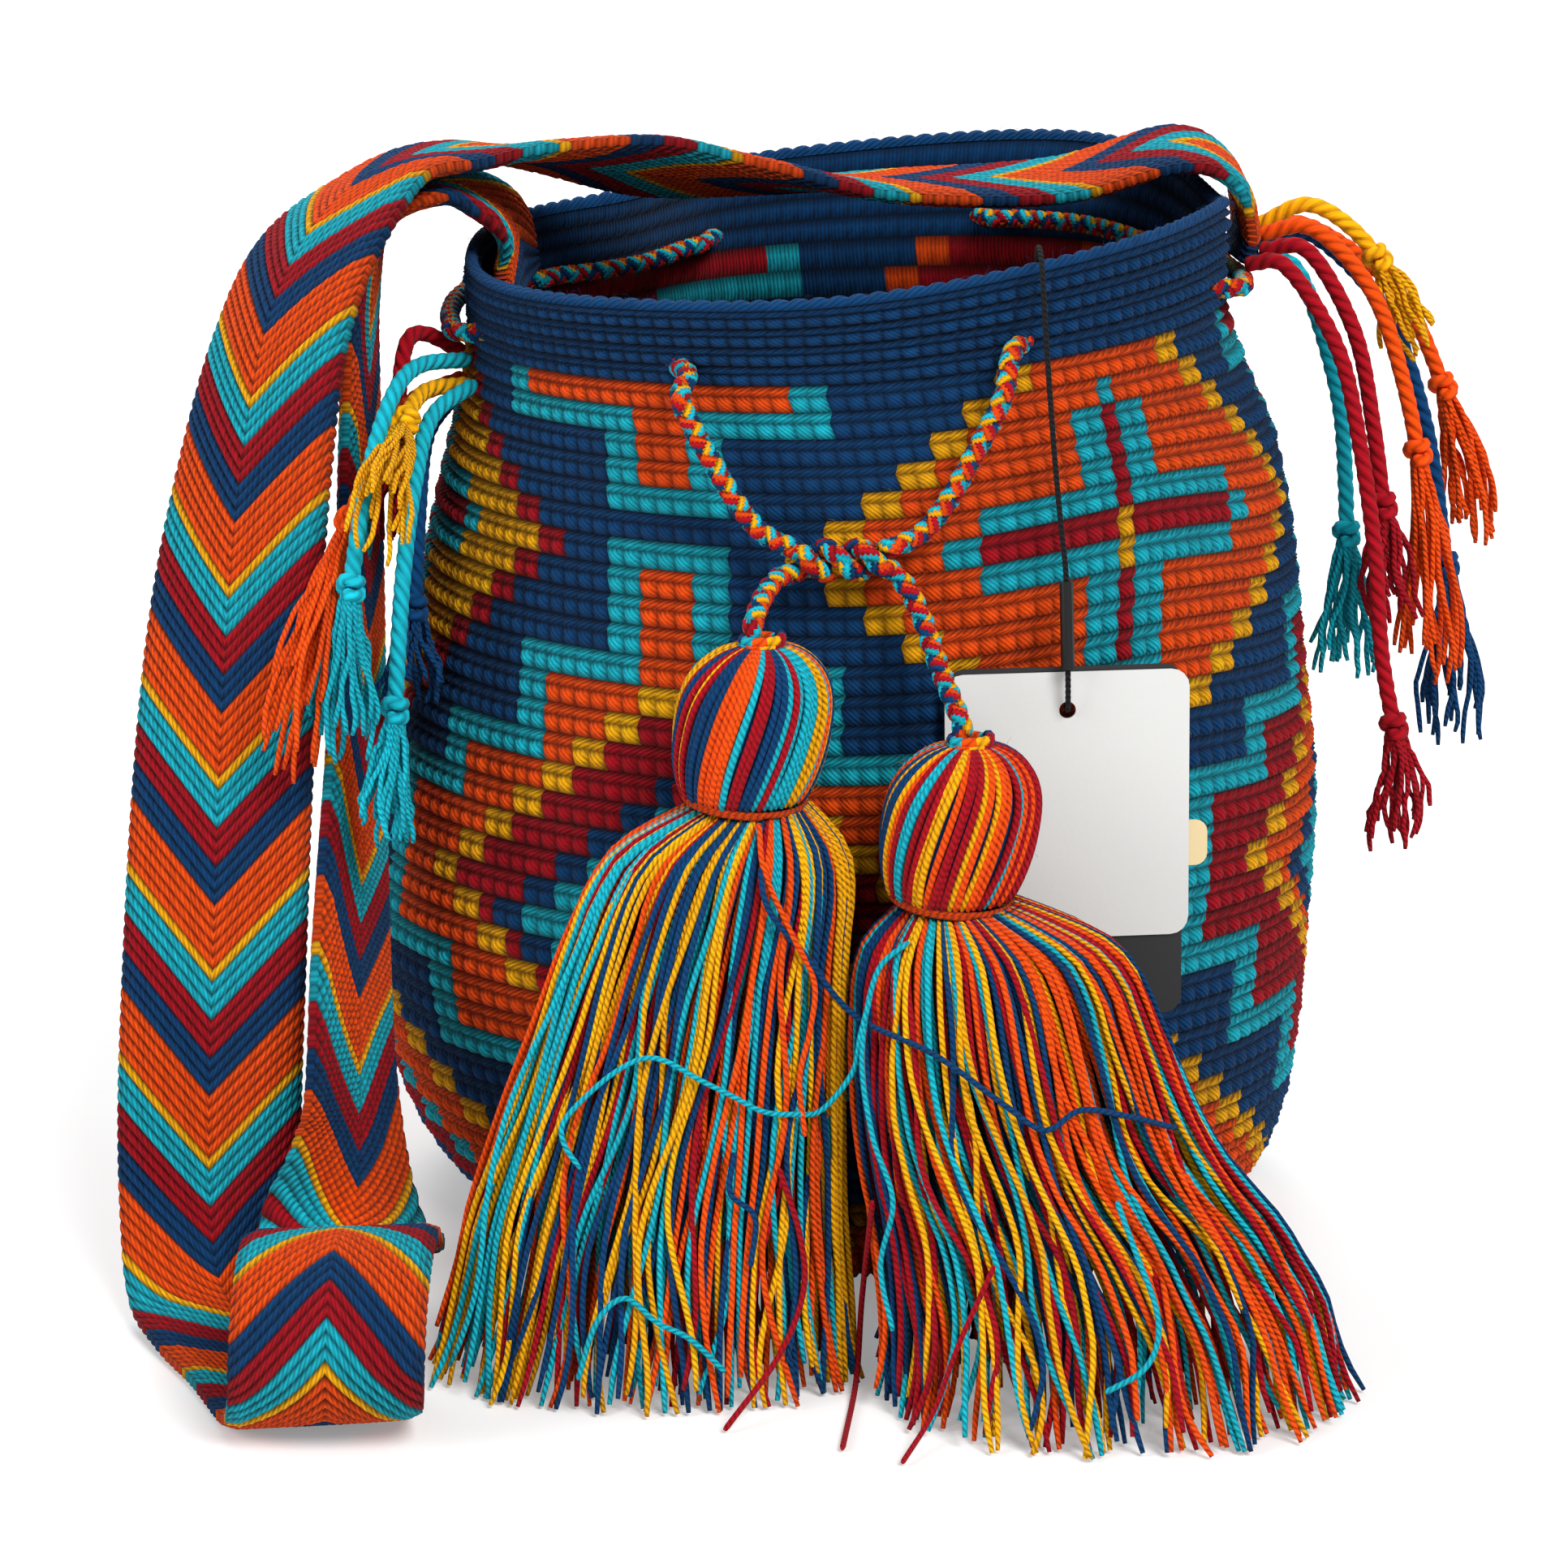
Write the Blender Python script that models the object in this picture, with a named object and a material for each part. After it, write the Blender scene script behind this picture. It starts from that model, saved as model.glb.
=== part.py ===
"""Crocheted drawstring shoulder bag.

A soft bucket bag in tapestry crochet, standing on its flat base, with a woven
chevron strap, a plaited drawstring with two tassels, the strap's loose end
cords at both sides and a blank hang tag on a string.
Metres, +Z up. The front of the bag faces -Y. The origin is on the floor, under
the middle of the base.
"""
import math

import bpy
import bmesh
from mathutils import Vector

# driving sizes of the bag
RIM_HEIGHT = 0.2605         # middle of the rim above the floor
DEPTH_RATIO = 0.88          # depth of the bag as a part of its width
WALL = 0.0042               # thickness of the crocheted wall
ROWS = 40                   # crochet rows from the base to the rim
ROW_RELIEF = 0.0013         # how deep the groove between two rows is
RIM_TILT = 0.010            # the right end of the rim is this much higher
RIM_PITCH = 0.004           # the back of the rim is this much higher
RIM_SAG = 0.003             # sag of the rim at the front
RIM_PRESSED = 0.009         # the strap presses the right end down this much
# half width and side shift of the wall, from the base upwards: height first
WALL_OUTLINE = [
    (0.0000, 0.0880, 0.003), (0.0020, 0.0990, 0.004), (0.0085, 0.1090, 0.004),
    (0.0250, 0.1180, 0.002), (0.0500, 0.1236, 0.000), (0.0800, 0.1262, -0.001),
    (0.1120, 0.1240, 0.002), (0.1500, 0.1184, 0.0035), (0.1800, 0.1135, 0.005),
    (0.2050, 0.1080, 0.005), (0.2230, 0.1020, 0.003), (0.2400, 0.0985, 0.001),
    (0.2605, 0.0990, 0.001),
]

# eyelets, in degrees round the bag from the front, right is positive
EYELETS = [26, 70, 114, 158, -158, -114, -70, -26]
EYELET_WIDTH = 0.0116
EYELET_ROW = 3              # counted down from the rim
WALL_STEP = 0.19            # turn between two upright lines of the mesh
CLEAR = 0.0003              # clearance between pieces that touch

# strap
STRAP_WIDTH = 0.046
STRAP_THICK = 0.0050
CHEVRON_SLOPE = 1.15        # how far a cord runs along while it crosses half
CHEVRON_PITCH = 0.0130      # one ridge and one groove along the strap
CHEVRON_RELIEF = 0.0009
STRAP_EDGE = 0.84           # the plaited edge starts here, as a part of half width

# drawstring and tassels
CORD = 0.0050               # drawstring diameter
KNOT_RADIUS = 0.0029        # the two ends wind round each other at this radius
HEAD_RADIUS = 0.0187
HEAD_HEIGHT = 0.0385
BINDING_RADIUS = 0.0112
BINDING_HEIGHT = 0.0034
STRAND_RELIEF = 0.0009

# hang tag
CARD = (0.0610, 0.0670)     # width and height of the front card
BACK_CARD = (0.0590, 0.0885)
CARD_THICK = 0.0005
CARD_CORNER = 0.0045
HOLE_RADIUS = 0.0021
HOLE_DROP = 0.0095          # from the top edge to the hole
STRING = 0.0015
SLEEVE_WIDTH = 0.0034       # the plastic sleeve on the string

FRINGE_CORD = 0.0044        # plied end cords of the strap
FRINGE_STEP = 0.0110        # between two points of such a cord
KNOT_SWELL = 0.0012         # how far a cord's knot stands out
TUFT_SWELL = 0.0036         # how far the loose yarns spread
LEAST_POINTS = 10           # points of the shortest fringe cord

COLOURS = {
    "navy": (0.008, 0.050, 0.125), "teal": (0.020, 0.460, 0.580),
    "orange": (0.850, 0.080, 0.006), "red": (0.340, 0.008, 0.018),
    "yellow": (0.900, 0.420, 0.008), "black": (0.010, 0.010, 0.012),
    "card": (0.690, 0.700, 0.700), "cream": (0.800, 0.640, 0.350),
    "mixed": (0.360, 0.170, 0.060),
}


def clear_scene():
    for obj in list(bpy.data.objects):
        bpy.data.objects.remove(obj, do_unlink=True)


def material(name, rough=0.95):
    mat = bpy.data.materials.get(name)
    if mat is None:
        mat = bpy.data.materials.new(name)
        mat.use_nodes = True
        shader = mat.node_tree.nodes["Principled BSDF"]
        shader.inputs["Base Color"].default_value = (*COLOURS[name], 1)
        shader.inputs["Roughness"].default_value = rough
        shader.inputs["Metallic"].default_value = 0.0
    return mat


def solid(name, verts, faces, colour, rough=0.95):
    """A closed mesh object with its faces turned outwards."""
    mesh = bpy.data.meshes.new(name)
    mesh.from_pydata([tuple(v) for v in verts], [], faces)
    bm = bmesh.new()
    bm.from_mesh(mesh)
    bmesh.ops.recalc_face_normals(bm, faces=bm.faces)
    bm.to_mesh(mesh)
    bm.free()
    obj = bpy.data.objects.new(name, mesh)
    bpy.context.collection.objects.link(obj)
    mesh.materials.append(material(colour, rough))
    return obj


def smooth(points, t):
    """Catmull-Rom curve through rows of numbers; t runs from 0 to 1."""
    last = len(points) - 1
    x = min(max(t, 0.0), 1.0) * last
    i = min(int(x), last - 1)
    f = x - i
    p1, p2 = points[i], points[i + 1]
    p0 = points[i - 1] if i else [2 * a - b for a, b in zip(p1, p2)]
    p3 = points[i + 2] if i + 2 <= last else [2 * b - a for a, b in zip(p1, p2)]
    return [0.5 * (2 * b + (c - a) * f + (2 * a - 5 * b + 4 * c - d) * f * f
                   + (3 * b - a - 3 * c + d) * f ** 3)
            for a, b, c, d in zip(p0, p1, p2, p3)]


def resample(points, count):
    """Points evenly spaced along the smooth curve through the given ones."""
    fine = [smooth(points, k / 600) for k in range(601)]
    run = [0.0]
    for a, b in zip(fine, fine[1:]):
        run.append(run[-1] + math.dist(a[:3], b[:3]))
    out, k = [], 0
    for n in range(count):
        want = run[-1] * n / (count - 1)
        while k < 599 and run[k + 1] < want:
            k += 1
        f = (want - run[k]) / max(run[k + 1] - run[k], 1e-12)
        out.append([a + (b - a) * f for a, b in zip(fine[k], fine[k + 1])])
    return out, run[-1]


def bump(angle, middle, spread):
    """A smooth bump of height 1 round an angle in degrees."""
    away = (math.degrees(angle) - middle + 180) % 360 - 180
    return math.exp(-(away / spread) ** 2)


# the bag's wall
WALL_PROFILE = resample([(w, h, s) for h, w, s in WALL_OUTLINE], 2 * ROWS + 1)[0]


def wall_at(level, angle, inset=0.0):
    """A point of the wall: level 0 to 1 up the profile, angle from the front."""
    x = level * 2 * ROWS
    i = min(int(x), 2 * ROWS - 1)
    f = x - i
    a, b = WALL_PROFILE[i], WALL_PROFILE[i + 1]
    width, height, shift = (p + (q - p) * f for p, q in zip(a, b))
    run = Vector((b[0] - a[0], b[1] - a[1])).normalized()
    width -= inset * run.y
    height += inset * run.x
    upper = max(0.0, (height - 0.17) / (RIM_HEIGHT - 0.17))
    power = 2.0 + 0.35 * upper
    s, c = math.sin(angle), math.cos(angle)
    reach = (abs(s) ** power + abs(c) ** power) ** (-1 / power)
    dent = 1 - 0.15 * bump(angle, -138, 17) * upper ** 2
    right, front = s * reach * dent, c * reach * dent
    lift = upper ** 2 * (RIM_TILT * right - RIM_PITCH * front
                         - RIM_SAG * bump(angle, 0, 26)
                         - RIM_PRESSED * bump(angle, 102, 24))
    return Vector((shift + width * right, -width * DEPTH_RATIO * front,
                   height + lift))


EYELET_LEVEL = 1 - (EYELET_ROW - 0.5) / ROWS


def angle_beside(degrees, distance):
    """The angle that lies a distance along the wall from a mark."""
    mark = math.radians(degrees)
    step = math.copysign(0.05, distance)
    reach = (wall_at(EYELET_LEVEL, mark + step)
             - wall_at(EYELET_LEVEL, mark)).length
    return mark + step * abs(distance) / reach


def wall_angles():
    """Angles of the upright mesh lines, with a narrow gap at each eyelet."""
    marks = sorted(EYELETS)
    angles, holes = [], []
    for k, mark in enumerate(marks):
        last = k + 1 == len(marks)
        after = marks[0] + 360 if last else marks[k + 1]
        holes.append(len(angles))
        start = angle_beside(mark, EYELET_WIDTH / 2)
        end = angle_beside(after, -EYELET_WIDTH / 2)
        steps = max(1, round((end - start) / WALL_STEP))
        angles.append(angle_beside(mark, -EYELET_WIDTH / 2))
        angles += [start + (end - start) * n / steps for n in range(steps)]
    return angles, holes


def bag_body():
    angles, holes = wall_angles()
    count = len(angles)
    eyelet_low = 2 * (ROWS - EYELET_ROW)
    eyelet_high = eyelet_low + 2
    verts, faces = [], []

    def ring(level, inset, lift=0.0):
        first = len(verts)
        for a in angles:
            p = wall_at(level, a, inset)
            verts.append(Vector((p.x, p.y, max(p.z + lift, 0.0))))
        return [first + n for n in range(count)]

    outer = []
    for k in range(2 * ROWS + 1):
        inset = ROW_RELIEF if k % 2 == 0 and 0 < k < 2 * ROWS else 0.0
        outer.append(ring(k / (2 * ROWS), inset))
    top = ring(1.0, WALL / 2, 0.0018)
    inner_levels = [2 * ROWS, eyelet_high, eyelet_low, 62, 48, 34, 22, 12, 5]
    inner = [ring(k / (2 * ROWS), WALL + (ROW_RELIEF / 2 if k == 0 else 0.0))
             for k in inner_levels]

    # the outside, the rounded rim and the inside
    bands = list(zip(outer, outer[1:])) + [(outer[-1], top), (top, inner[0])]
    bands += list(zip(inner, inner[1:]))
    for lower, upper in bands:
        through = (lower in outer[eyelet_low:eyelet_high]
                   or lower is inner[1])
        for n in range(count):
            if through and n in holes:
                continue
            m = (n + 1) % count
            faces.append((lower[n], lower[m], upper[m], upper[n]))
    # the walls of the eyelets
    low, mid, high = (outer[eyelet_low + k] for k in range(3))
    for n in holes:
        m = (n + 1) % count
        faces.append((low[n], low[m], inner[2][m], inner[2][n]))
        faces.append((high[n], high[m], inner[1][m], inner[1][n]))
        faces.append((low[n], mid[n], high[n], inner[1][n], inner[2][n]))
        faces.append((low[m], mid[m], high[m], inner[1][m], inner[2][m]))
    # the flat base outside, and the floor of the bag inside
    faces.append(tuple(outer[0]))
    hub = len(verts)
    verts.append(Vector((WALL_OUTLINE[0][2], 0.0, WALL)))
    for n in range(count):
        faces.append((inner[-1][n], inner[-1][(n + 1) % count], hub))
    return solid("bag_body", verts, faces, "navy")


# the strap: middle line, width direction and bow of its cross-section
STRAP_ROUTE = [
    (0.1042, 0.018, 0.2470, 0.0, -1.0, 0.0, 0.0),
    (0.1056, 0.019, 0.2570, 0.0, -1.0, 0.0, 0.0),
    (0.1015, 0.020, 0.2695, 0.0, -1.0, 0.0, 0.0),
    (0.0870, 0.021, 0.2752, 0.0, -1.0, -0.06, 0.0),
    (0.0560, 0.022, 0.2715, 0.0, -1.0, -0.08, 0.0),
    (0.0130, 0.021, 0.2715, 0.0, -1.0, 0.05, 0.0),
    (-0.0200, 0.019, 0.2730, 0.0, -1.0, 0.30, 0.0),
    (-0.0500, 0.016, 0.2740, 0.0, -0.9, 0.45, 0.0),
    (-0.0800, 0.010, 0.2755, 0.0, -1.0, 0.25, 0.0),
    (-0.1000, 0.004, 0.2762, 0.1, -1.0, 0.05, 0.0),
    (-0.1190, -0.008, 0.2725, 0.35, -0.9, 0.10, 0.001),
    (-0.1350, -0.026, 0.2600, 0.60, -0.75, 0.0, 0.003),
    (-0.1450, -0.043, 0.2380, 0.72, -0.65, 0.0, 0.004),
    (-0.1510, -0.057, 0.2050, 0.85, -0.50, 0.0, 0.004),
    (-0.1545, -0.070, 0.1680, 0.95, -0.30, 0.0, 0.003),
    (-0.1565, -0.084, 0.1280, 1.0, -0.15, 0.0, 0.002),
    (-0.1580, -0.095, 0.0880, 1.0, -0.05, 0.0, 0.001),
    (-0.1595, -0.102, 0.0520, 1.0, 0.0, 0.0, 0.0),
    (-0.1595, -0.107, 0.0260, 1.0, 0.0, 0.0, 0.0),
    (-0.1565, -0.116, 0.0095, 1.0, 0.1, 0.0, 0.0),
    (-0.1480, -0.132, 0.0034, 1.0, 0.35, 0.0, 0.0),
    (-0.1370, -0.152, 0.0028, 1.0, 0.4, 0.0, 0.0),
    (-0.1270, -0.174, 0.0036, 1.0, 0.25, 0.0, 0.0),
    (-0.1235, -0.193, 0.0110, 1.0, 0.05, 0.0, -0.001),
    (-0.1225, -0.1995, 0.0240, 1.0, 0.0, 0.0, -0.002),
    (-0.1220, -0.192, 0.0375, 1.0, 0.0, 0.0, -0.002),
    (-0.1215, -0.175, 0.0435, 1.0, 0.0, 0.0, -0.001),
    (-0.1215, -0.153, 0.0415, 1.0, 0.15, 0.0, 0.0),
    (-0.1220, -0.131, 0.0375, 0.9, 0.45, 0.0, 0.0),
    (-0.1230, -0.112, 0.0430, 0.65, 0.75, 0.0, 0.0),
    (-0.1235, -0.099, 0.0600, 0.45, 0.9, 0.0, 0.0),
    (-0.1240, -0.087, 0.0880, 0.3, 0.95, 0.0, 0.0),
    (-0.1240, -0.062, 0.1250, 0.18, 0.95, 0.0, 0.0),
    (-0.1240, -0.037, 0.1650, 0.12, 1.0, 0.0, 0.0),
    (-0.1245, -0.019, 0.2050, 0.08, 1.0, 0.0, 0.0),
    (-0.1240, -0.008, 0.2380, 0.05, 1.0, 0.0, 0.0),
    (-0.1190, -0.002, 0.2590, 0.0, 1.0, 0.0, 0.0),
    (-0.1075, 0.003, 0.2672, 0.0, 1.0, 0.0, 0.0),
    (-0.0960, 0.007, 0.2650, 0.0, 1.0, 0.0, 0.0),
    (-0.0870, 0.011, 0.2560, 0.10, 1.0, 0.0, 0.0),
    (-0.0845, 0.013, 0.2390, 0.14, 1.0, 0.0, 0.0),
]
STRAP_TURN = 0.62   # past this part of its length the chevrons point back


def strap_frames(count):
    """Even stations along the strap: point, run, width and face directions."""
    stations, length = resample(STRAP_ROUTE, count)
    frames = []
    for n, row in enumerate(stations):
        here = Vector(row[:3])
        before = Vector(stations[max(n - 1, 0)][:3])
        after = Vector(stations[min(n + 1, count - 1)][:3])
        run = (after - before).normalized()
        wide = Vector(row[3:6])
        wide = (wide - run * wide.dot(run)).normalized()
        frames.append((here, run, wide, run.cross(wide), row[6]))
    return frames, length


def strap():
    fine = 520              # stations that the strap's middle line is read at
    frames, length = strap_frames(fine)

    def at(along, side, out):
        """A point of the strap: along it, side -1 to 1, out from its middle."""
        x = min(max(along / length, 0.0), 1.0) * (fine - 1)
        i = min(int(x), fine - 2)
        f = x - i
        a, b = frames[i], frames[i + 1]
        here, _, wide, face = (p.lerp(q, f) for p, q in zip(a[:4], b[:4]))
        bow = a[4] + (b[4] - a[4]) * f
        across = wide * (side * STRAP_WIDTH / 2)
        return here + across + face * (out - bow * side * side)

    sides = [-1.0, -STRAP_EDGE, 0.0, STRAP_EDGE, 1.0]
    reach = CHEVRON_SLOPE * STRAP_WIDTH / 2
    lines = int(2 * length / CHEVRON_PITCH)
    verts, faces, rings = [], [], []
    for k in range(lines + 1):
        base = length * k / lines
        ridge = CHEVRON_RELIEF if k % 2 else 0.0
        ends = min(base, length - base) / reach
        first = len(verts)
        turned = min(max((base / length - STRAP_TURN) / 0.08, -1.0), 1.0)
        for face in (1, -1):
            for side in (sides if face > 0 else sides[::-1]):
                lead = -turned * (0.5 - abs(side)) * reach * min(1.0, ends)
                edge = max(0.0, abs(side) - STRAP_EDGE) / (1 - STRAP_EDGE)
                half = (STRAP_THICK / 2 - ridge) * (1 - 0.45 * edge)
                verts.append(at(base + lead, side, face * half))
        rings.append(list(range(first, len(verts))))
    for a, b in zip(rings, rings[1:]):
        for n in range(len(a)):
            m = (n + 1) % len(a)
            faces.append((a[n], a[m], b[m], b[n]))
    faces += [tuple(rings[0]), tuple(rings[-1])]
    return solid("strap", verts, faces, "orange")


# cords
def cord_object(name, points, radii, colour, resolution=2):
    """One closed tube along the points, with its own radius at each."""
    curve = bpy.data.curves.new(name, "CURVE")
    curve.dimensions = "3D"
    curve.bevel_depth = 1.0
    curve.bevel_resolution = resolution
    curve.use_fill_caps = True
    spline = curve.splines.new("POLY")
    spline.points.add(len(points) - 1)
    for spot, place, radius in zip(spline.points, points, radii):
        spot.co = (*place, 1.0)
        spot.radius = radius
    curve.materials.append(material(colour))
    obj = bpy.data.objects.new(name, curve)
    bpy.context.collection.objects.link(obj)
    return obj


def beside_wall(angle, out, lift=0.0):
    """A point out from the wall's outer face, at the eyelets' height."""
    p = wall_at(EYELET_LEVEL, angle, -out)
    return (p.x, p.y, p.z + lift)


SLACK = 0.012               # the last inner run stands up this much

# free ends of the drawstring, from the front eyelets down to the tassels
LEFT_END = [(-0.0405, -0.0955, 0.2330), (-0.0375, -0.0975, 0.2260),
            (-0.0325, -0.1000, 0.2175), (-0.0270, -0.1020, 0.2085),
            (-0.0205, -0.1035, 0.2010)]
RIGHT_END = [(0.0385, -0.0945, 0.2340), (0.0345, -0.0970, 0.2255),
             (0.0295, -0.0990, 0.2165), (0.0245, -0.1010, 0.2080),
             (0.0180, -0.1030, 0.2005)]
KNOT_FROM = (-0.0125, -0.1060, 0.1945)
KNOT_TO = (0.0110, -0.1060, 0.1950)
TO_RIGHT_TASSEL = [(0.0150, -0.1085, 0.1880), (0.0190, -0.1120, 0.1800),
                   (0.0220, -0.1180, 0.1720), (0.0255, -0.1275, 0.1650),
                   (0.0275, -0.1324, 0.1605)]
TO_LEFT_TASSEL = [(-0.0170, -0.1100, 0.1910), (-0.0205, -0.1185, 0.1880),
                  (-0.0226, -0.1272, 0.1840)]
LEFT_HEAD = (-0.0226, -0.1275, 0.1605)      # middle of each tassel's head
RIGHT_HEAD = (0.0275, -0.1325, 0.1370)


def knot_points(first_angle, steps=9):
    """One cord of the half knot: one and a half turns round the knot's line."""
    a, b = Vector(KNOT_FROM), Vector(KNOT_TO)
    out = []
    for k in range(steps + 1):
        t = k / steps
        turn = math.radians(first_angle + 540 * t)
        out.append(tuple(a.lerp(b, t) + Vector((0, math.cos(turn), math.sin(turn)))
                         * KNOT_RADIUS))
    return out


def threaded_points():
    """The run in and out of the eyelets, from the left front one to the right."""
    points = []
    stand = CORD / 2 + 0.0015           # middle of the cord off the cloth
    out, inside = stand, -(WALL + stand)
    order = sorted((a for a in EYELETS if a < 0), reverse=True)
    order += sorted((a for a in EYELETS if a > 0), reverse=True)
    across = EYELET_WIDTH / 2 + 0.0002
    for k, mark in enumerate(order):
        here, there = (out, inside) if k % 2 == 0 else (inside, out)
        # the run goes round towards the left, so angles fall
        if k:
            points.append(beside_wall(angle_beside(mark, 2.3 * across), here))
        points.append(beside_wall(angle_beside(mark, across), here))
        points.append(beside_wall(angle_beside(mark, -across), there))
        if k + 1 < len(order):
            points.append(beside_wall(angle_beside(mark, -2.3 * across), there))
            gap = (mark - order[k + 1]) % 360
            slack = SLACK if k + 2 == len(order) else 0.0
            for part in (0.35, 0.5, 0.65):
                points.append(beside_wall(math.radians(mark - gap * part), there * 1.08,
                                          slack * math.sin(math.pi * part)))
    return points


def drawstring():
    over = HEAD_HEIGHT / 2 + 3 * CLEAR      # the cord ends just above each head
    left_top = (LEFT_HEAD[0], LEFT_HEAD[1], LEFT_HEAD[2] + over)
    right_top = (RIGHT_HEAD[0], RIGHT_HEAD[1], RIGHT_HEAD[2] + over)
    points = [right_top] + TO_RIGHT_TASSEL[::-1]
    points += knot_points(90)[::-1] + LEFT_END[::-1]
    points += threaded_points() + RIGHT_END
    points += knot_points(270)[::-1] + TO_LEFT_TASSEL + [left_top]
    return cord_object("drawstring", points, [CORD / 2] * len(points), "mixed", 1)


# tassels
def lathe(name, rings, colour, sides, relief=0.0):
    """A closed solid from rings of (middle, half width, half depth)."""
    verts, faces = [], []
    for middle, wide, deep in rings:
        for n in range(sides):
            a = 2 * math.pi * n / sides
            off = -relief if n % 2 else 0.0
            verts.append(Vector((middle[0] + (wide + off) * math.cos(a),
                                 middle[1] + (deep + off) * math.sin(a), middle[2])))
    for k in range(len(rings) - 1):
        for n in range(sides):
            m = (n + 1) % sides
            a, b = k * sides, (k + 1) * sides
            faces.append((a + n, a + m, b + m, b + n))
    faces.append(tuple(range(sides)))
    faces.append(tuple(range((len(rings) - 1) * sides, len(rings) * sides)))
    return solid(name, verts, faces, colour)


def tassel_head(name, middle):
    rings = []
    for k in range(9):
        t = -1 + 2 * k / 8
        radius = HEAD_RADIUS * (1 - abs(t) ** 2.6) ** 0.5
        low = BINDING_RADIUS - 0.0015 if t < 0 else 0.0045
        radius = max(radius, low)
        z = middle[2] + t * HEAD_HEIGHT / 2
        rings.append(((middle[0], middle[1], z), radius, radius))
    return lathe(name, rings, "mixed", 24, STRAND_RELIEF)


def tassel_binding(name, middle):
    top = middle[2] - HEAD_HEIGHT / 2 - CLEAR
    rings = []
    for k in range(5):
        t = k / 4
        radius = BINDING_RADIUS + 0.0011 * math.sin(math.pi * t)
        rings.append(((middle[0], middle[1], top - BINDING_HEIGHT * (1 - t)),
                      radius, radius))
    return lathe(name, rings, "orange", 18)


# skirts: height above the floor as a part of the fall, middle x and y,
# half width, half depth
LEFT_SKIRT = [
    (0.00, -0.0530, -0.1490, 0.0480, 0.0300), (0.20, -0.0500, -0.1455, 0.0465, 0.0285),
    (0.45, -0.0430, -0.1395, 0.0400, 0.0240), (0.70, -0.0350, -0.1345, 0.0320, 0.0200),
    (0.88, -0.0275, -0.1305, 0.0225, 0.0160),
    (1.00, -0.0226, -0.1275, BINDING_RADIUS, BINDING_RADIUS),
]
RIGHT_SKIRT = [
    (0.00, 0.0650, -0.1650, 0.0580, 0.0420), (0.20, 0.0590, -0.1590, 0.0530, 0.0370),
    (0.45, 0.0480, -0.1500, 0.0440, 0.0300), (0.70, 0.0375, -0.1420, 0.0335, 0.0235),
    (0.88, 0.0315, -0.1365, 0.0240, 0.0175),
    (1.00, 0.0275, -0.1325, BINDING_RADIUS, BINDING_RADIUS),
]


def tassel_skirt(name, head, outline):
    top = head[2] - HEAD_HEIGHT / 2 - BINDING_HEIGHT - 2 * CLEAR
    rings = []
    for k in range(8):
        part, x, y, wide, deep = smooth(outline, k / 7)
        rings.append(((x, y, top * min(max(part, 0.0), 1.0)), wide, deep))
    return lathe(name, rings, "mixed", 32, 2 * STRAND_RELIEF)


# hang tag
TAG_HOLE = (0.0545, -0.1020, 0.1560)    # the hole of the front card
TAG_YAW = math.radians(7)               # the right edge is turned back
TAG_LEAN = math.radians(-4)             # the lower edge stands forward


def tag_axes():
    across = Vector((math.cos(TAG_YAW), math.sin(TAG_YAW), 0))
    up = Vector((0, -math.sin(TAG_LEAN), math.cos(TAG_LEAN)))
    up = (up - across * up.dot(across)).normalized()
    return across, up, across.cross(up) * -1


def card(name, size, back, colour, middle=(0.0, 0.0), hole=True, corner=CARD_CORNER):
    """A thin card with round corners, back metres behind the front card."""
    across, up, behind = tag_axes()
    wide, high = size
    left, top = middle[0] - wide / 2, middle[1] + HOLE_DROP
    outline = []
    for cx, cy, start in ((left + wide - corner, top - corner, 0),
                          (left + corner, top - corner, 90),
                          (left + corner, top - high + corner, 180),
                          (left + wide - corner, top - high + corner, 270)):
        for k in range(5):
            a = math.radians(start + 22.5 * k)
            outline.append((cx + corner * math.cos(a), cy + corner * math.sin(a)))
    ring = [(HOLE_RADIUS * math.cos(a), HOLE_RADIUS * math.sin(a))
            for a in (2 * math.pi * n / 20 for n in range(20))] if hole else []

    def place(point, depth):
        return (Vector(TAG_HOLE) + across * point[0] + up * point[1]
                + behind * (back + depth))

    verts, faces = [], []
    for depth in (0.0, CARD_THICK):
        verts += [place(p, depth) for p in outline + ring]
    n, total = len(outline), len(outline) + len(ring)
    for k in range(n):
        m = (k + 1) % n
        faces.append((k, m, total + m, total + k))
    if ring:
        count = len(ring)
        for k in range(count):
            m = (k + 1) % count
            faces.append((n + k, n + m, total + n + m, total + n + k))
        for base in (0, total):
            for k in range(n):
                m = (k + 1) % n
                faces.append((base + k, base + m, base + n + (m % count),
                              base + n + (k % count)))
    else:
        faces.append(tuple(range(n)))
        faces.append(tuple(range(total, total + n)))
    return solid(name, verts, faces, colour, 0.55)


def tag_parts():
    card("tag_front_card", CARD, 0.0, "card")
    card("tag_back_card", BACK_CARD, CARD_THICK + CLEAR, "black", (-0.0005, 0.0012))
    card("tag_tab", (0.020, 0.0115), 2 * (CARD_THICK + CLEAR), "cream",
         (0.0255, -0.0385), hole=False, corner=0.0030)


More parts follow.
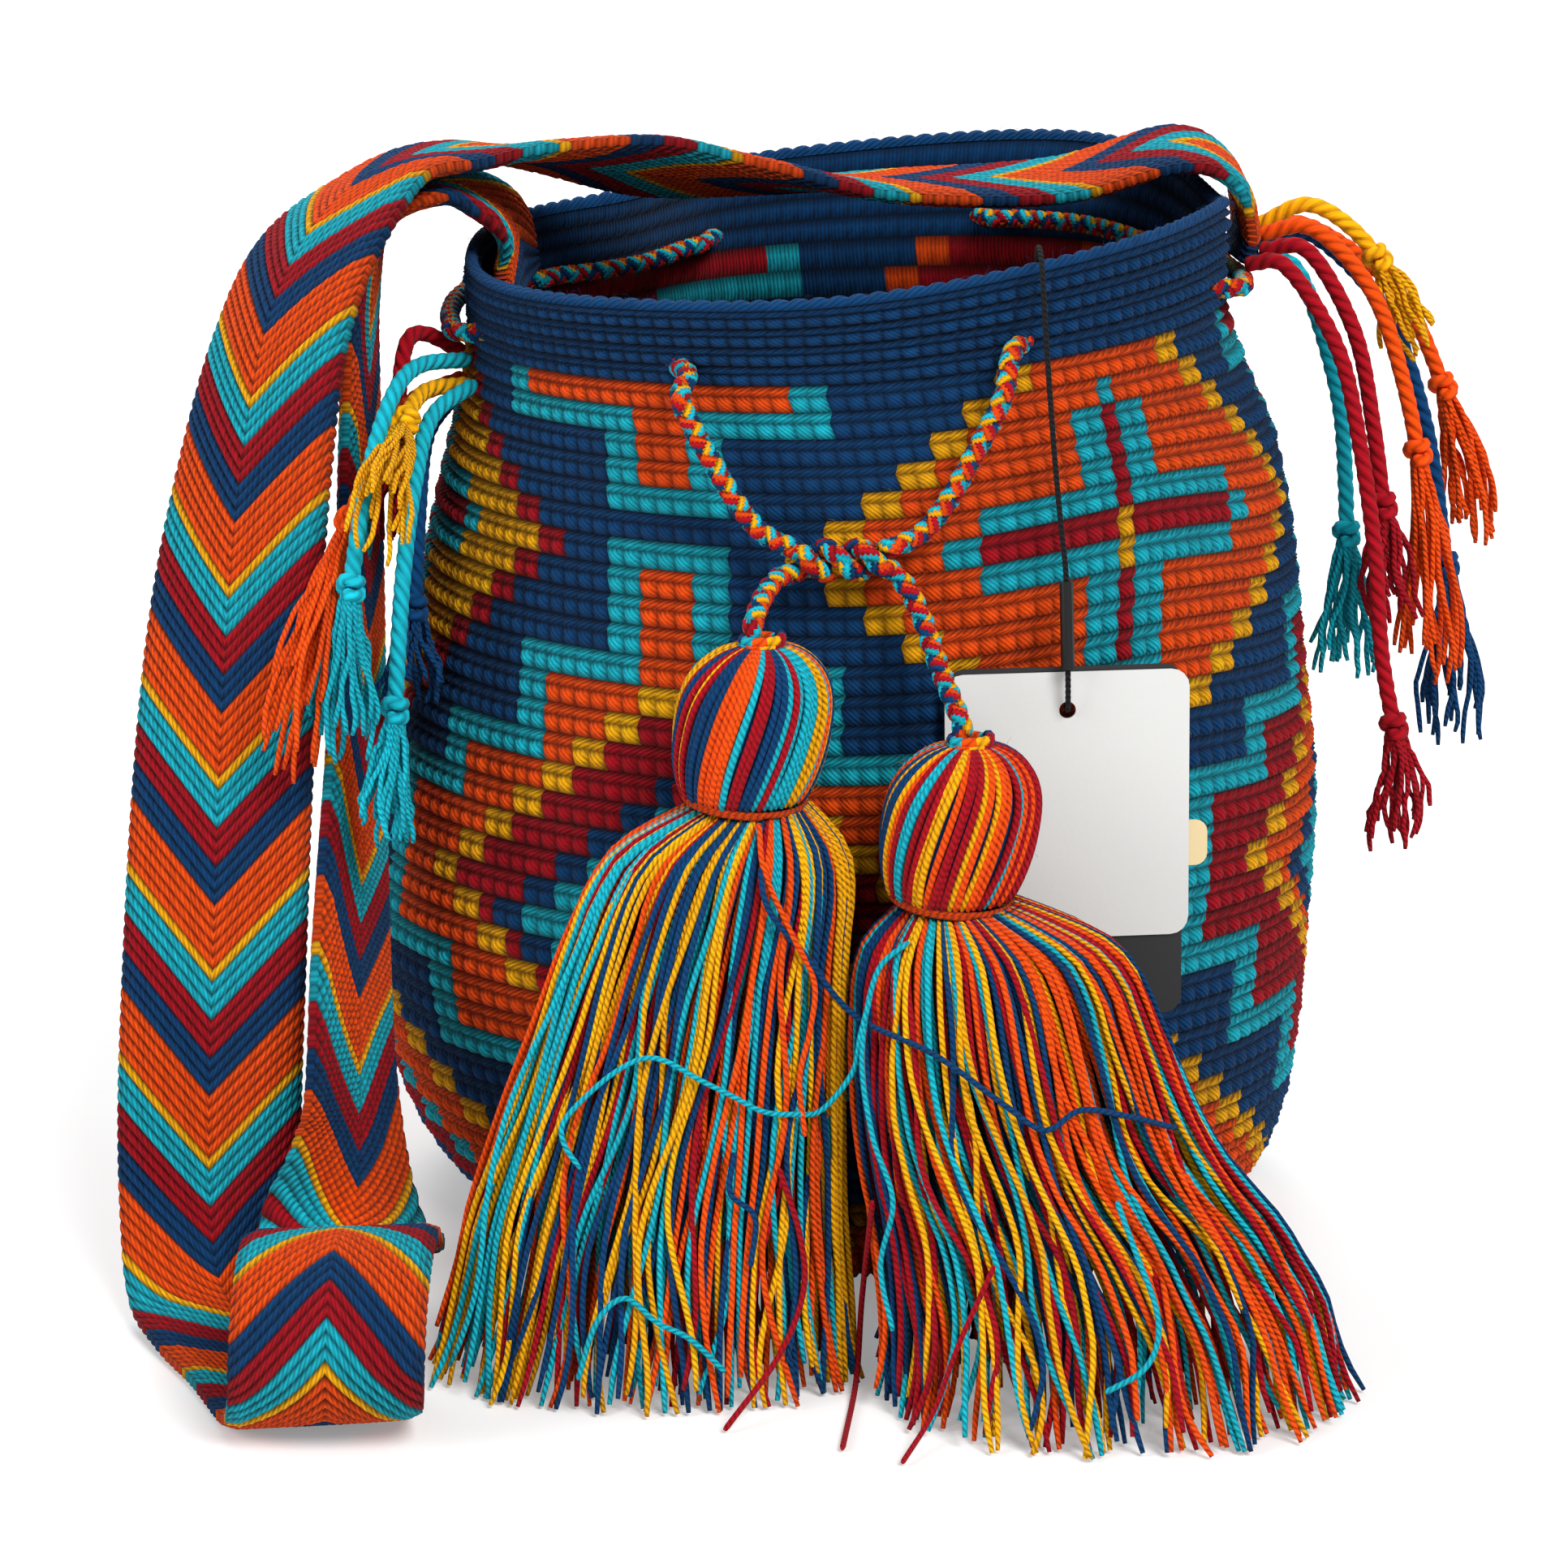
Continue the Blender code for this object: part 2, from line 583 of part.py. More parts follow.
SLEEVE_TOP = (0.0538, -0.1005, 0.1885)
SLEEVE_END = (0.0543, -0.1049, 0.1665)
STRING_ROUTE = [
    (0.0466, -0.0745, 0.2520), (0.0467, -0.0746, 0.2580), (0.0468, -0.0756, 0.2635),
    (0.0470, -0.0788, 0.2668), (0.0473, -0.0835, 0.2662), (0.0477, -0.0880, 0.2615),
    (0.0482, -0.0906, 0.2520), (0.0495, -0.0935, 0.2340), (0.0510, -0.0962, 0.2160),
    (0.0525, -0.0985, 0.2010), SLEEVE_TOP, SLEEVE_END,
    (0.0544, -0.1051, 0.1610), (0.0545, -0.1043, 0.1575), (0.0545, -0.1020, 0.1560),
    (0.0545, -0.1000, 0.1562), (0.0545, -0.0989, 0.1590), (0.0545, -0.0983, 0.1630),
]


def tag_string():
    return cord_object("tag_string", STRING_ROUTE,
                       [STRING / 2] * len(STRING_ROUTE), "black", 1)


def tag_sleeve():
    """A short plastic tube round the string."""
    top, end = Vector(SLEEVE_TOP), Vector(SLEEVE_END)
    run = (end - top).normalized()
    start = top + run * 0.0004
    stop = end - run * 0.0004
    side = run.cross(Vector((0, 1, 0))).normalized()
    deep = run.cross(side)
    sides, verts, faces = 16, [], []
    radii = (SLEEVE_WIDTH / 2, STRING / 2 + CLEAR)
    for place in (start, stop):
        for radius in radii:
            for n in range(sides):
                a = 2 * math.pi * n / sides
                verts.append(place + (side * math.cos(a) + deep * math.sin(a)) * radius)
    for n in range(sides):
        m = (n + 1) % sides
        for a, b in ((0, 2), (1, 3), (0, 1), (2, 3)):
            faces.append((a * sides + n, a * sides + m, b * sides + m, b * sides + n))
    return solid("tag_sleeve", verts, faces, "black", 0.3)


# loose end cords of the strap: route, then where the knot sits
FRINGE = {
    "fringe_left_red": ("red", 0.70, [
        (-0.0983, -0.0105, 0.2275), (-0.1075, -0.0120, 0.2325),
        (-0.1120, -0.0180, 0.2315), (-0.1140, -0.0240, 0.2190),
        (-0.1145, -0.0290, 0.2000), (-0.1150, -0.0330, 0.1820)]),
    "fringe_left_yellow": ("yellow", 0.46, [
        (-0.0966, -0.0248, 0.2219), (-0.1070, -0.0400, 0.2225),
        (-0.1115, -0.0620, 0.2150), (-0.1145, -0.0840, 0.2040),
        (-0.1175, -0.0960, 0.1890), (-0.1200, -0.1050, 0.1740),
        (-0.1210, -0.1080, 0.1620)]),
    "fringe_left_orange": ("orange", 0.52, [
        (-0.0979, -0.0180, 0.2222), (-0.1095, -0.0290, 0.2190),
        (-0.1160, -0.0460, 0.2120), (-0.1230, -0.0650, 0.1980),
        (-0.1300, -0.0830, 0.1780), (-0.1365, -0.0960, 0.1530),
        (-0.1410, -0.1030, 0.1280)]),
    "fringe_left_teal": ("teal", 0.66, [
        (-0.0964, -0.0243, 0.2282), (-0.1080, -0.0400, 0.2295),
        (-0.1140, -0.0560, 0.2235), (-0.1190, -0.0720, 0.2060),
        (-0.1225, -0.0880, 0.1800), (-0.1235, -0.0960, 0.1500),
        (-0.1245, -0.1000, 0.1240)]),
    "fringe_left_knotted": ("teal", 0.72, [
        (-0.0947, -0.0318, 0.2230), (-0.1040, -0.0470, 0.2180),
        (-0.1075, -0.0640, 0.2050), (-0.1100, -0.0790, 0.1830),
        (-0.1120, -0.0900, 0.1500), (-0.1145, -0.0980, 0.1200),
        (-0.1155, -0.1010, 0.0920)]),
    "fringe_left_navy": ("navy", 0.72, [
        (-0.1008, -0.0110, 0.2160), (-0.1070, -0.0240, 0.2080),
        (-0.1085, -0.0400, 0.1900), (-0.1095, -0.0500, 0.1650),
        (-0.1110, -0.0560, 0.1450)]),
    "fringe_right_red": ("red", 0.86, [
        (0.1044, -0.0074, 0.2500), (0.1140, -0.0130, 0.2500),
        (0.1270, -0.0190, 0.2300), (0.1330, -0.0220, 0.2060),
        (0.1375, -0.0240, 0.1780), (0.1400, -0.0260, 0.1500),
        (0.1450, -0.0280, 0.1220), (0.1450, -0.0280, 0.0980)]),
    "fringe_right_red_short": ("red", 0.80, [
        (0.1083, -0.0015, 0.2525), (0.1200, -0.0060, 0.2530),
        (0.1320, -0.0100, 0.2330), (0.1375, -0.0130, 0.2080),
        (0.1410, -0.0150, 0.1820), (0.1435, -0.0160, 0.1560)]),
    "fringe_right_teal": ("teal", 0.78, [
        (0.1084, 0.0045, 0.2500), (0.1190, 0.0050, 0.2450),
        (0.1290, 0.0020, 0.2160), (0.1320, 0.0000, 0.1900),
        (0.1325, -0.0020, 0.1620), (0.1320, -0.0040, 0.1380)]),
    "fringe_right_orange": ("orange", 0.62, [
        (0.1088, 0.0078, 0.2550), (0.1220, 0.0050, 0.2570),
        (0.1370, 0.0000, 0.2420), (0.1460, -0.0030, 0.2180),
        (0.1520, -0.0060, 0.1880), (0.1550, -0.0080, 0.1560),
        (0.1550, -0.0090, 0.1320)]),
    "fringe_right_yellow": ("yellow", 0.50, [
        (0.1085, 0.0142, 0.2562), (0.1220, 0.0125, 0.2620),
        (0.1360, 0.0110, 0.2530), (0.1450, 0.0090, 0.2380),
        (0.1510, 0.0070, 0.2200)]),
    "fringe_right_navy": ("navy", 0.78, [
        (0.1079, 0.0192, 0.2510), (0.1230, 0.0200, 0.2530),
        (0.1430, 0.0210, 0.2330), (0.1540, 0.0190, 0.2050),
        (0.1600, 0.0170, 0.1720), (0.1630, 0.0150, 0.1400),
        (0.1640, 0.0140, 0.1150)]),
    "fringe_right_amber": ("orange", 0.70, [
        (0.1076, 0.0270, 0.2530), (0.1240, 0.0280, 0.2535),
        (0.1480, 0.0340, 0.2350), (0.1610, 0.0340, 0.2090),
        (0.1680, 0.0330, 0.1850), (0.1710, 0.0320, 0.1640)]),
}


def fringe_cord(name):
    """A plied cord with a knot, below which its yarns spread in a tuft."""
    colour, knot, route = FRINGE[name]
    length = resample(route, 2)[1]
    count = max(LEAST_POINTS, round(length / FRINGE_STEP))
    points, _ = resample(route, count)
    radii = []
    for n in range(count):
        t = n / (count - 1)
        radius = FRINGE_CORD / 2
        if t > knot:
            spread = (t - knot) / (1 - knot)
            radius += TUFT_SWELL * math.sin(math.pi * min(spread, 0.62))
        radius += KNOT_SWELL * math.exp(-((t - knot) * length / 0.004) ** 2)
        radii.append(radius)
    return cord_object(name, points, radii, colour, 1)


def build():
    clear_scene()
    bag_body()
    strap()
    drawstring()
    for side, head, outline in (("left", LEFT_HEAD, LEFT_SKIRT),
                                ("right", RIGHT_HEAD, RIGHT_SKIRT)):
        tassel_head("tassel_head_" + side, head)
        tassel_binding("tassel_binding_" + side, head)
        tassel_skirt("tassel_skirt_" + side, head, outline)
    tag_parts()
    tag_string()
    tag_sleeve()
    for name in FRINGE:
        fringe_cord(name)


build()
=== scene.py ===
import math
import random

import bpy
import numpy as np
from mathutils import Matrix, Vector


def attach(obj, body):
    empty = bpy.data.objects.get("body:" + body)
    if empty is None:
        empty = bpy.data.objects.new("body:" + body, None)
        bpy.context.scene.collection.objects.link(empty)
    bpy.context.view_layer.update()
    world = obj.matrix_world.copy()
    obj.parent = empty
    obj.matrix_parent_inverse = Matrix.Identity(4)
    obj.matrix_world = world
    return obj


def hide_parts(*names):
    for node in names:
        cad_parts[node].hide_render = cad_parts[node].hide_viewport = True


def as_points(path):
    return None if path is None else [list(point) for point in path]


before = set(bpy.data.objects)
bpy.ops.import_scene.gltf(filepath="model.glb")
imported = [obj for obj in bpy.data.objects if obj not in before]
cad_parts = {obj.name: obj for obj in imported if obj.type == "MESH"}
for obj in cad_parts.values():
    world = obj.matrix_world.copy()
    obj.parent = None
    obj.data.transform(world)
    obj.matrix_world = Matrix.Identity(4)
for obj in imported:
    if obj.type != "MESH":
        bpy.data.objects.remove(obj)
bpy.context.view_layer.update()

RNG = random.Random(7)
NRNG = np.random.default_rng(11)


# colours, as they look on the real yarn
def srgb(r, g, b):
    return tuple(((v / 255 + 0.055) / 1.055) ** 2.4 if v > 10 else v / 255 / 12.92
                 for v in (r, g, b))


YARN = {
    "navy": srgb(0, 62, 112), "teal": srgb(18, 178, 198), "orange": srgb(246, 80, 4),
    "red": srgb(168, 6, 26), "yellow": srgb(250, 176, 4),
}
MIXED = ["teal", "orange", "yellow", "red", "navy"]


def shade_of(name, spread=0.10):
    """A yarn colour, a little lighter or darker than the last one."""
    k = 1 + RNG.uniform(-spread, spread)
    return tuple(min(c * k, 1.0) for c in YARN[name])


# camera, matched to the photograph
EYE = (-0.0152, -1.4, 0.50)
AIM = (-0.0152, 0.0, 0.1086)
LENS = 125.4                # mm, on a sensor 36 mm wide
FOCAL = 6730                # the same in pixels of the picture
PICTURE_MIDDLE = 966        # pixels across and down, of 1932


def placed(name, data, place, aim):
    """A camera or a lamp that looks from its place to its aim."""
    obj = bpy.data.objects.new(name, data)
    bpy.context.collection.objects.link(obj)
    obj.location = place
    run = Vector(aim) - Vector(place)
    obj.rotation_euler = run.to_track_quat("-Z", "Y").to_euler()
    return obj


def make_camera():
    data = bpy.data.cameras.new("camera")
    data.lens = LENS
    data.sensor_width = 36.0
    bpy.context.scene.camera = placed("camera", data, EYE, AIM)


make_camera()


# materials
def node(tree, kind, **inputs):
    n = tree.nodes.new(kind)
    for key, value in inputs.items():
        n.inputs[key].default_value = value
    return n


def math_node(tree, operation, first, second=None):
    n = tree.nodes.new("ShaderNodeMath")
    n.operation = operation
    for spot, value in enumerate((first, second)):
        if isinstance(value, (int, float)):
            n.inputs[spot].default_value = value
        elif value is not None:
            tree.links.new(value, n.inputs[spot])
    return n.outputs[0]


def new_material(name, rough):
    mat = bpy.data.materials.new(name)
    mat.use_nodes = True
    shader = mat.node_tree.nodes["Principled BSDF"]
    shader.inputs["Roughness"].default_value = rough
    return mat, mat.node_tree, shader


def yarn_material(name, ply, fibre, wide):
    """Wool: colour from the piece's own yarn colours, with random fibre tone and painted shade
    between the plies; plies and fibres in bump.

    The UV map holds, in x, how many plies across a spot lies, and in y how far
    along the yarn it lies, in ply widths.
    """
    mat, t, shader = new_material(name, 0.92)
    shader.inputs["Specular IOR Level"].default_value = 0.18
    shader.inputs["Sheen Weight"].default_value = 0.035
    shader.inputs["Sheen Roughness"].default_value = 0.45
    uv = t.nodes.new("ShaderNodeUVMap")
    split = t.nodes.new("ShaderNodeSeparateXYZ")
    t.links.new(uv.outputs[0], split.inputs[0])
    across, along = split.outputs[0], split.outputs[1]
    ply_round = math_node(t, "ABSOLUTE",
                          math_node(t, "SINE", math_node(t, "MULTIPLY", across, math.pi)))
    lines = t.nodes.new("ShaderNodeCombineXYZ")
    t.links.new(math_node(t, "MULTIPLY", across, 7.0 * wide), lines.inputs[0])
    t.links.new(math_node(t, "MULTIPLY", along, 0.9 * wide), lines.inputs[1])
    fibres = node(t, "ShaderNodeTexNoise", Scale=1.0, Detail=3.0, Roughness=0.65)
    t.links.new(lines.outputs[0], fibres.inputs["Vector"])
    height = math_node(t, "ADD", math_node(t, "MULTIPLY", ply_round, ply),
                       math_node(t, "MULTIPLY", fibres.outputs["Fac"], fibre))
    relief = node(t, "ShaderNodeBump", Strength=0.9, Distance=0.0007)
    t.links.new(height, relief.inputs["Height"])
    t.links.new(relief.outputs[0], shader.inputs["Normal"])
    colour = t.nodes.new("ShaderNodeAttribute")
    colour.attribute_name = "yarn"
    # the fibres vary the tone at random; painted shade darkens the colour deep between the
    # plies
    fibre_tone_and_painted_shade = math_node(t, "ADD", 0.14, math_node(t, "ADD",
                      math_node(t, "MULTIPLY", fibres.outputs["Fac"], 1.05),
                      math_node(t, "MULTIPLY", ply_round, 0.42)))
    tint = t.nodes.new("ShaderNodeHueSaturation")
    t.links.new(colour.outputs["Color"], tint.inputs["Color"])
    t.links.new(fibre_tone_and_painted_shade, tint.inputs["Value"])
    t.links.new(tint.outputs[0], shader.inputs["Base Color"])
    return mat


CROCHET = yarn_material("crochet_wool", ply=0.7, fibre=0.8, wide=0.6)
PLIED = yarn_material("plied_wool", ply=1.0, fibre=0.5, wide=0.6)
WOVEN = yarn_material("woven_wool", ply=0.9, fibre=0.7, wide=0.7)


def mesh_piece(name, verts, faces, colours, uvs, material, depth=None):
    """A piece from arrays: corners, quads, face colours and corner UVs.

    depth is painted shade: it darkens each corner's colour, as light hardly reaches down
    between yarns.
    """
    verts = np.asarray(verts, dtype=np.float32)
    faces = np.asarray(faces, dtype=np.int32)
    count, sides = faces.shape
    mesh = bpy.data.meshes.new(name)
    mesh.vertices.add(len(verts))
    mesh.vertices.foreach_set("co", verts.ravel())
    mesh.loops.add(count * sides)
    mesh.loops.foreach_set("vertex_index", faces.ravel())
    mesh.polygons.add(count)
    starts = np.arange(0, count * sides, sides, dtype=np.int32)
    mesh.polygons.foreach_set("loop_start", starts)
    mesh.update(calc_edges=True)
    mesh.polygons.foreach_set("use_smooth", np.full(count, True))
    layer = mesh.attributes.new("yarn", "FLOAT_COLOR", "CORNER")
    rgba = np.ones((count * sides, 4), dtype=np.float32)
    rgba[:, :3] = np.repeat(np.asarray(colours, dtype=np.float32), sides, axis=0)
    # painted shade: each corner's colour is multiplied by its depth factor
    if depth is not None:
        rgba[:, :3] *= np.asarray(depth, dtype=np.float32)[faces.ravel()][:, None]
    layer.data.foreach_set("color", rgba.ravel())
    uv = mesh.uv_layers.new(name="UVMap")
    uv.data.foreach_set("uv", np.asarray(uvs, dtype=np.float32).ravel())
    mesh.validate()
    mesh.materials.append(material)
    obj = bpy.data.objects.new(name, mesh)
    bpy.context.collection.objects.link(obj)
    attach(obj, "root")
    return obj


# curves
def smooth(points, t):
    """Catmull-Rom curve through rows of numbers; t runs from 0 to 1."""
    last = len(points) - 1
    x = min(max(t, 0.0), 1.0) * last
    i = min(int(x), last - 1)
    f = x - i
    p1, p2 = points[i], points[i + 1]
    p0 = points[i - 1] if i else [2 * a - b for a, b in zip(p1, p2)]
    p3 = points[i + 2] if i + 2 <= last else [2 * b - a for a, b in zip(p1, p2)]
    return [0.5 * (2 * b + (c - a) * f + (2 * a - 5 * b + 4 * c - d) * f * f
                   + (3 * b - a - 3 * c + d) * f ** 3)
            for a, b, c, d in zip(p0, p1, p2, p3)]


def resample(points, count, fine=600):
    """Points evenly spaced along the smooth curve through the given ones."""
    rows = np.array([smooth(points, k / fine) for k in range(fine + 1)])
    step = np.linalg.norm(np.diff(rows[:, :3], axis=0), axis=1)
    run = np.concatenate([[0.0], np.cumsum(step)])
    want = np.linspace(0.0, run[-1], count)
    out = np.stack([np.interp(want, run, rows[:, k]) for k in range(rows.shape[1])], 1)
    return out, run[-1]


def transport(path):
    """Directions across a path that turn with it and don't twist."""
    path = np.asarray(path, dtype=float)
    run = np.gradient(path, axis=0)
    run /= np.linalg.norm(run, axis=1)[:, None] + 1e-12
    start = np.array([0.0, 0.0, 1.0]) if abs(run[0][2]) < 0.9 else np.array([1.0, 0, 0])
    side = np.zeros_like(path)
    s = start - run[0] * start.dot(run[0])
    side[0] = s / np.linalg.norm(s)
    for k in range(1, len(path)):
        s = side[k - 1] - run[k] * side[k - 1].dot(run[k])
        side[k] = s / (np.linalg.norm(s) + 1e-12)
    return run, side, np.cross(run, side)


# meshes of yarn
def band_faces(rings, sides):
    """Quads between closed rings of corners, ring after ring."""
    i = np.arange(rings - 1)[:, None] * sides
    j = np.arange(sides)[None, :]
    m = (j + 1) % sides
    return np.stack([i + j, i + m, i + sides + m, i + sides + j], -1).reshape(-1, 4)


def corner_uvs(place, x0, x1, y0, y1):
    """UVs of a row of quads, from its lower left round; place gives a spot's UV."""
    return np.stack([place(x, y) for x, y in ((x0, y0), (x1, y0), (x1, y1), (x0, y1))], 1)


def cap(ring):
    """Quads that close a ring with an even number of corners."""
    return [[ring[0], ring[k], ring[k + 1], ring[k + 2]]
            for k in range(1, len(ring) - 2, 2)]


def round_body(path, radius, angle):
    """Corners and quads of a closed round body; radius for each ring and angle."""
    rings, sides = len(path), angle.shape[-1]
    _, side, other = transport(path)
    verts = (path[:, None, :] + side[:, None, :] * (np.cos(angle) * radius)[..., None]
             + other[:, None, :] * (np.sin(angle) * radius)[..., None]).reshape(-1, 3)
    ends = cap(range(sides)[::-1]) + cap(range((rings - 1) * sides, rings * sides))
    return verts, np.concatenate([band_faces(rings, sides), np.array(ends)]), len(ends)


def with_cap_uvs(uv, caps):
    return np.concatenate([uv, np.full((4 * caps, 2), (0.5, 0.0))])


def tube_mesh(path, radius, sides, pitch, plies=2, lobes=0.0, round_ends=True):
    """Corners, faces and corner UVs of a plied yarn along a path."""
    path = np.asarray(path, dtype=float)
    n = len(path)
    step = np.linalg.norm(np.diff(path, axis=0), axis=1)
    s = np.concatenate([[0.0], np.cumsum(step)])
    radius = np.full(n, float(radius))
    if round_ends:
        radius[0] *= 0.6
        radius[-1] *= 0.75
    a = np.linspace(0, 2 * math.pi, sides, endpoint=False)[None, :]
    phase = plies * (a / (2 * math.pi) + s[:, None] / pitch)
    r = radius[:, None] * (1 - lobes * (1 - np.abs(np.sin(math.pi * phase))))
    verts, faces, caps = round_body(path, r, a)
    ply = s / pitch * plies
    j0 = (np.arange(sides) / sides * plies)[None, :]
    j1 = ((np.arange(sides) + 1) / sides * plies)[None, :]
    lower, upper = ply[:-1, None], ply[1:, None]
    along = s / (pitch / plies)
    la = np.broadcast_to(along[:-1, None], (n - 1, sides))
    ua = np.broadcast_to(along[1:, None], (n - 1, sides))
    uv = np.stack([np.stack([j0 + lower, la], -1), np.stack([j1 + lower, la], -1),
                   np.stack([j1 + upper, ua], -1), np.stack([j0 + upper, ua], -1)],
                  2).reshape(-1, 2)
    return verts, faces, with_cap_uvs(uv, caps)


class Bundle:
    """Gathers many small meshes into one piece."""

    def __init__(self):
        self.verts, self.faces, self.colours, self.uvs = [], [], [], []
        self.count = 0

    def add(self, verts, faces, uv, colour):
        self.verts.append(verts)
        self.faces.append(faces + self.count)
        self.uvs.append(uv)
        self.colours.append(np.broadcast_to(np.asarray(colour, float), (len(faces), 3)))
        self.count += len(verts)

    def yarn(self, colour, path, radius, sides, pitch, plies=2, lobes=0.0, **more):
        self.add(*tube_mesh(path, radius, sides, pitch, plies, lobes, **more), colour)

    def piece(self, name):
        return mesh_piece(name, np.concatenate(self.verts), np.concatenate(self.faces),
                          np.concatenate(self.colours), np.concatenate(self.uvs),
                          PLIED)


# the bag's wall, as in the CAD
RIM_HEIGHT = 0.2605
DEPTH_RATIO = 0.88
WALL = 0.0042
CAD_ROWS = 40
RIM_TILT = 0.010
RIM_PITCH = 0.004
RIM_SAG = 0.003
RIM_PRESSED = 0.009
WALL_OUTLINE = [
    (0.0000, 0.0880, 0.003), (0.0020, 0.0990, 0.004), (0.0085, 0.1090, 0.004),
    (0.0250, 0.1180, 0.002), (0.0500, 0.1236, 0.000), (0.0800, 0.1262, -0.001),
    (0.1120, 0.1240, 0.002), (0.1500, 0.1184, 0.0035), (0.1800, 0.1135, 0.005),
    (0.2050, 0.1080, 0.005), (0.2230, 0.1020, 0.003), (0.2400, 0.0985, 0.001),
    (0.2605, 0.0990, 0.001),
]
PROFILE = resample([(w, h, s) for h, w, s in WALL_OUTLINE], 2 * CAD_ROWS + 1)[0]
EYELETS = [26, 70, 114, 158, -158, -114, -70, -26]
EYELET_WIDTH = 0.0116
EYELET_LEVEL = 1 - 2.5 / CAD_ROWS
CLEAR = 0.0003
SQUARE_FROM = 0.17          # from this height up the wall's outline turns squarer
SQUARENESS = 0.35
DENT = 0.15                 # how far it is pressed in at the back on the left
WALL_STEP = 0.012           # part of the level over which its slope is taken


def bump(angle, middle, spread):
    """1 at the middle, in degrees round the bag, and less to both sides."""
    away = (np.degrees(angle) - middle + 180) % 360 - 180
    return np.exp(-(away / spread) ** 2)


def wall_outline(level, angle):
    x = np.clip(level, 0, 1) * 2 * CAD_ROWS
    grid = np.arange(2 * CAD_ROWS + 1)
    width, height, shift = (np.interp(x, grid, PROFILE[:, k]) for k in range(3))
    upper = np.clip((height - SQUARE_FROM) / (RIM_HEIGHT - SQUARE_FROM), 0, None)
    power = 2.0 + SQUARENESS * upper
    s, c = np.sin(angle), np.cos(angle)
    reach = (np.abs(s) ** power + np.abs(c) ** power) ** (-1 / power)
    dent = 1 - DENT * bump(angle, -138, 17) * upper ** 2
    right, front = s * reach * dent, c * reach * dent
    lift = upper ** 2 * (RIM_TILT * right - RIM_PITCH * front
                         - RIM_SAG * bump(angle, 0, 26)
                         - RIM_PRESSED * bump(angle, 102, 24))
    return np.stack([shift + width * right, -width * DEPTH_RATIO * front,
                     height + lift], -1)


def wall(level, angle, out=0.0):
    """Points of the wall's outer face, moved out along its normal."""
    level, angle = np.broadcast_arrays(np.asarray(level, float), np.asarray(angle, float))
    here = wall_outline(level, angle)
    if np.ndim(out) == 0 and out == 0.0:
        return here
    low, high = np.clip(level - WALL_STEP, 0, 1), np.clip(level + WALL_STEP, 0, 1)
    up = wall_outline(high, angle) - wall_outline(low, angle)
    turn = wall_outline(level, angle + 0.01) - wall_outline(level, angle - 0.01)
    normal = np.cross(turn, up)
    normal /= np.linalg.norm(normal, axis=-1, keepdims=True) + 1e-12
    return here + normal * np.asarray(out)[..., None]


# drawstring: the CAD's own route
CORD = 0.0050
KNOT_RADIUS = 0.0029
HEAD_RADIUS = 0.0187
HEAD_HEIGHT = 0.0385
BINDING_HEIGHT = 0.0034
SLACK = 0.012
LEFT_END = [(-0.0405, -0.0955, 0.2330), (-0.0375, -0.0975, 0.2260),
            (-0.0325, -0.1000, 0.2175), (-0.0270, -0.1020, 0.2085),
            (-0.0205, -0.1035, 0.2010)]
RIGHT_END = [(0.0385, -0.0945, 0.2340), (0.0345, -0.0970, 0.2255),
             (0.0295, -0.0990, 0.2165), (0.0245, -0.1010, 0.2080),
             (0.0180, -0.1030, 0.2005)]
KNOT_FROM = (-0.0125, -0.1060, 0.1945)
KNOT_TO = (0.0110, -0.1060, 0.1950)
TO_RIGHT_TASSEL = [(0.0150, -0.1085, 0.1880), (0.0190, -0.1120, 0.1800),
                   (0.0220, -0.1180, 0.1720), (0.0255, -0.1275, 0.1650),
                   (0.0275, -0.1324, 0.1605)]
TO_LEFT_TASSEL = [(-0.0170, -0.1100, 0.1910), (-0.0205, -0.1185, 0.1880),
                  (-0.0226, -0.1272, 0.1840)]
LEFT_HEAD = (-0.0226, -0.1275, 0.1605)
RIGHT_HEAD = (0.0275, -0.1325, 0.1370)
PAST_EYELET = 2.3           # points beside an eyelet, in half widths of it


def angle_beside(degrees, distance):
    mark = math.radians(degrees)
    step = math.copysign(0.05, distance)
    reach = np.linalg.norm(wall(EYELET_LEVEL, mark + step) - wall(EYELET_LEVEL, mark))
    return mark + step * abs(distance) / reach


def beside_wall(angle, out, lift=0.0):
    x, y, z = wall(EYELET_LEVEL, angle, out)
    return (x, y, z + lift)


def knot_points(first_angle, steps=9):
    """One end's turns round the other, from left to right."""
    a, b = Vector(KNOT_FROM), Vector(KNOT_TO)
    out = []
    for k in range(steps + 1):
        turn = math.radians(first_angle + 540 * (k / steps))
        around = Vector((0, math.cos(turn), math.sin(turn))) * KNOT_RADIUS
        out.append(tuple(a.lerp(b, k / steps) + around))
    return out


def threaded_points():
    """The round through the eyelets, out of one and into the next."""
    points = []
    stand = CORD / 2 + 0.0015
    out, inside = stand, -(WALL + stand)
    order = sorted((a for a in EYELETS if a < 0), reverse=True)
    order += sorted((a for a in EYELETS if a > 0), reverse=True)
    across = EYELET_WIDTH / 2 + 0.0002

    def beside(mark, distance, away):
        points.append(beside_wall(angle_beside(mark, distance), away))

    for k, mark in enumerate(order):
        here, there = (out, inside) if k % 2 == 0 else (inside, out)
        if k:
            beside(mark, PAST_EYELET * across, here)
        beside(mark, across, here)
        beside(mark, -across, there)
        if k + 1 < len(order):
            beside(mark, -PAST_EYELET * across, there)
            gap = (mark - order[k + 1]) % 360
            slack = SLACK if k + 2 == len(order) else 0.0
            for part in (0.35, 0.5, 0.65):
                points.append(beside_wall(math.radians(mark - gap * part), there * 1.08,
                                          slack * math.sin(math.pi * part)))
    return points


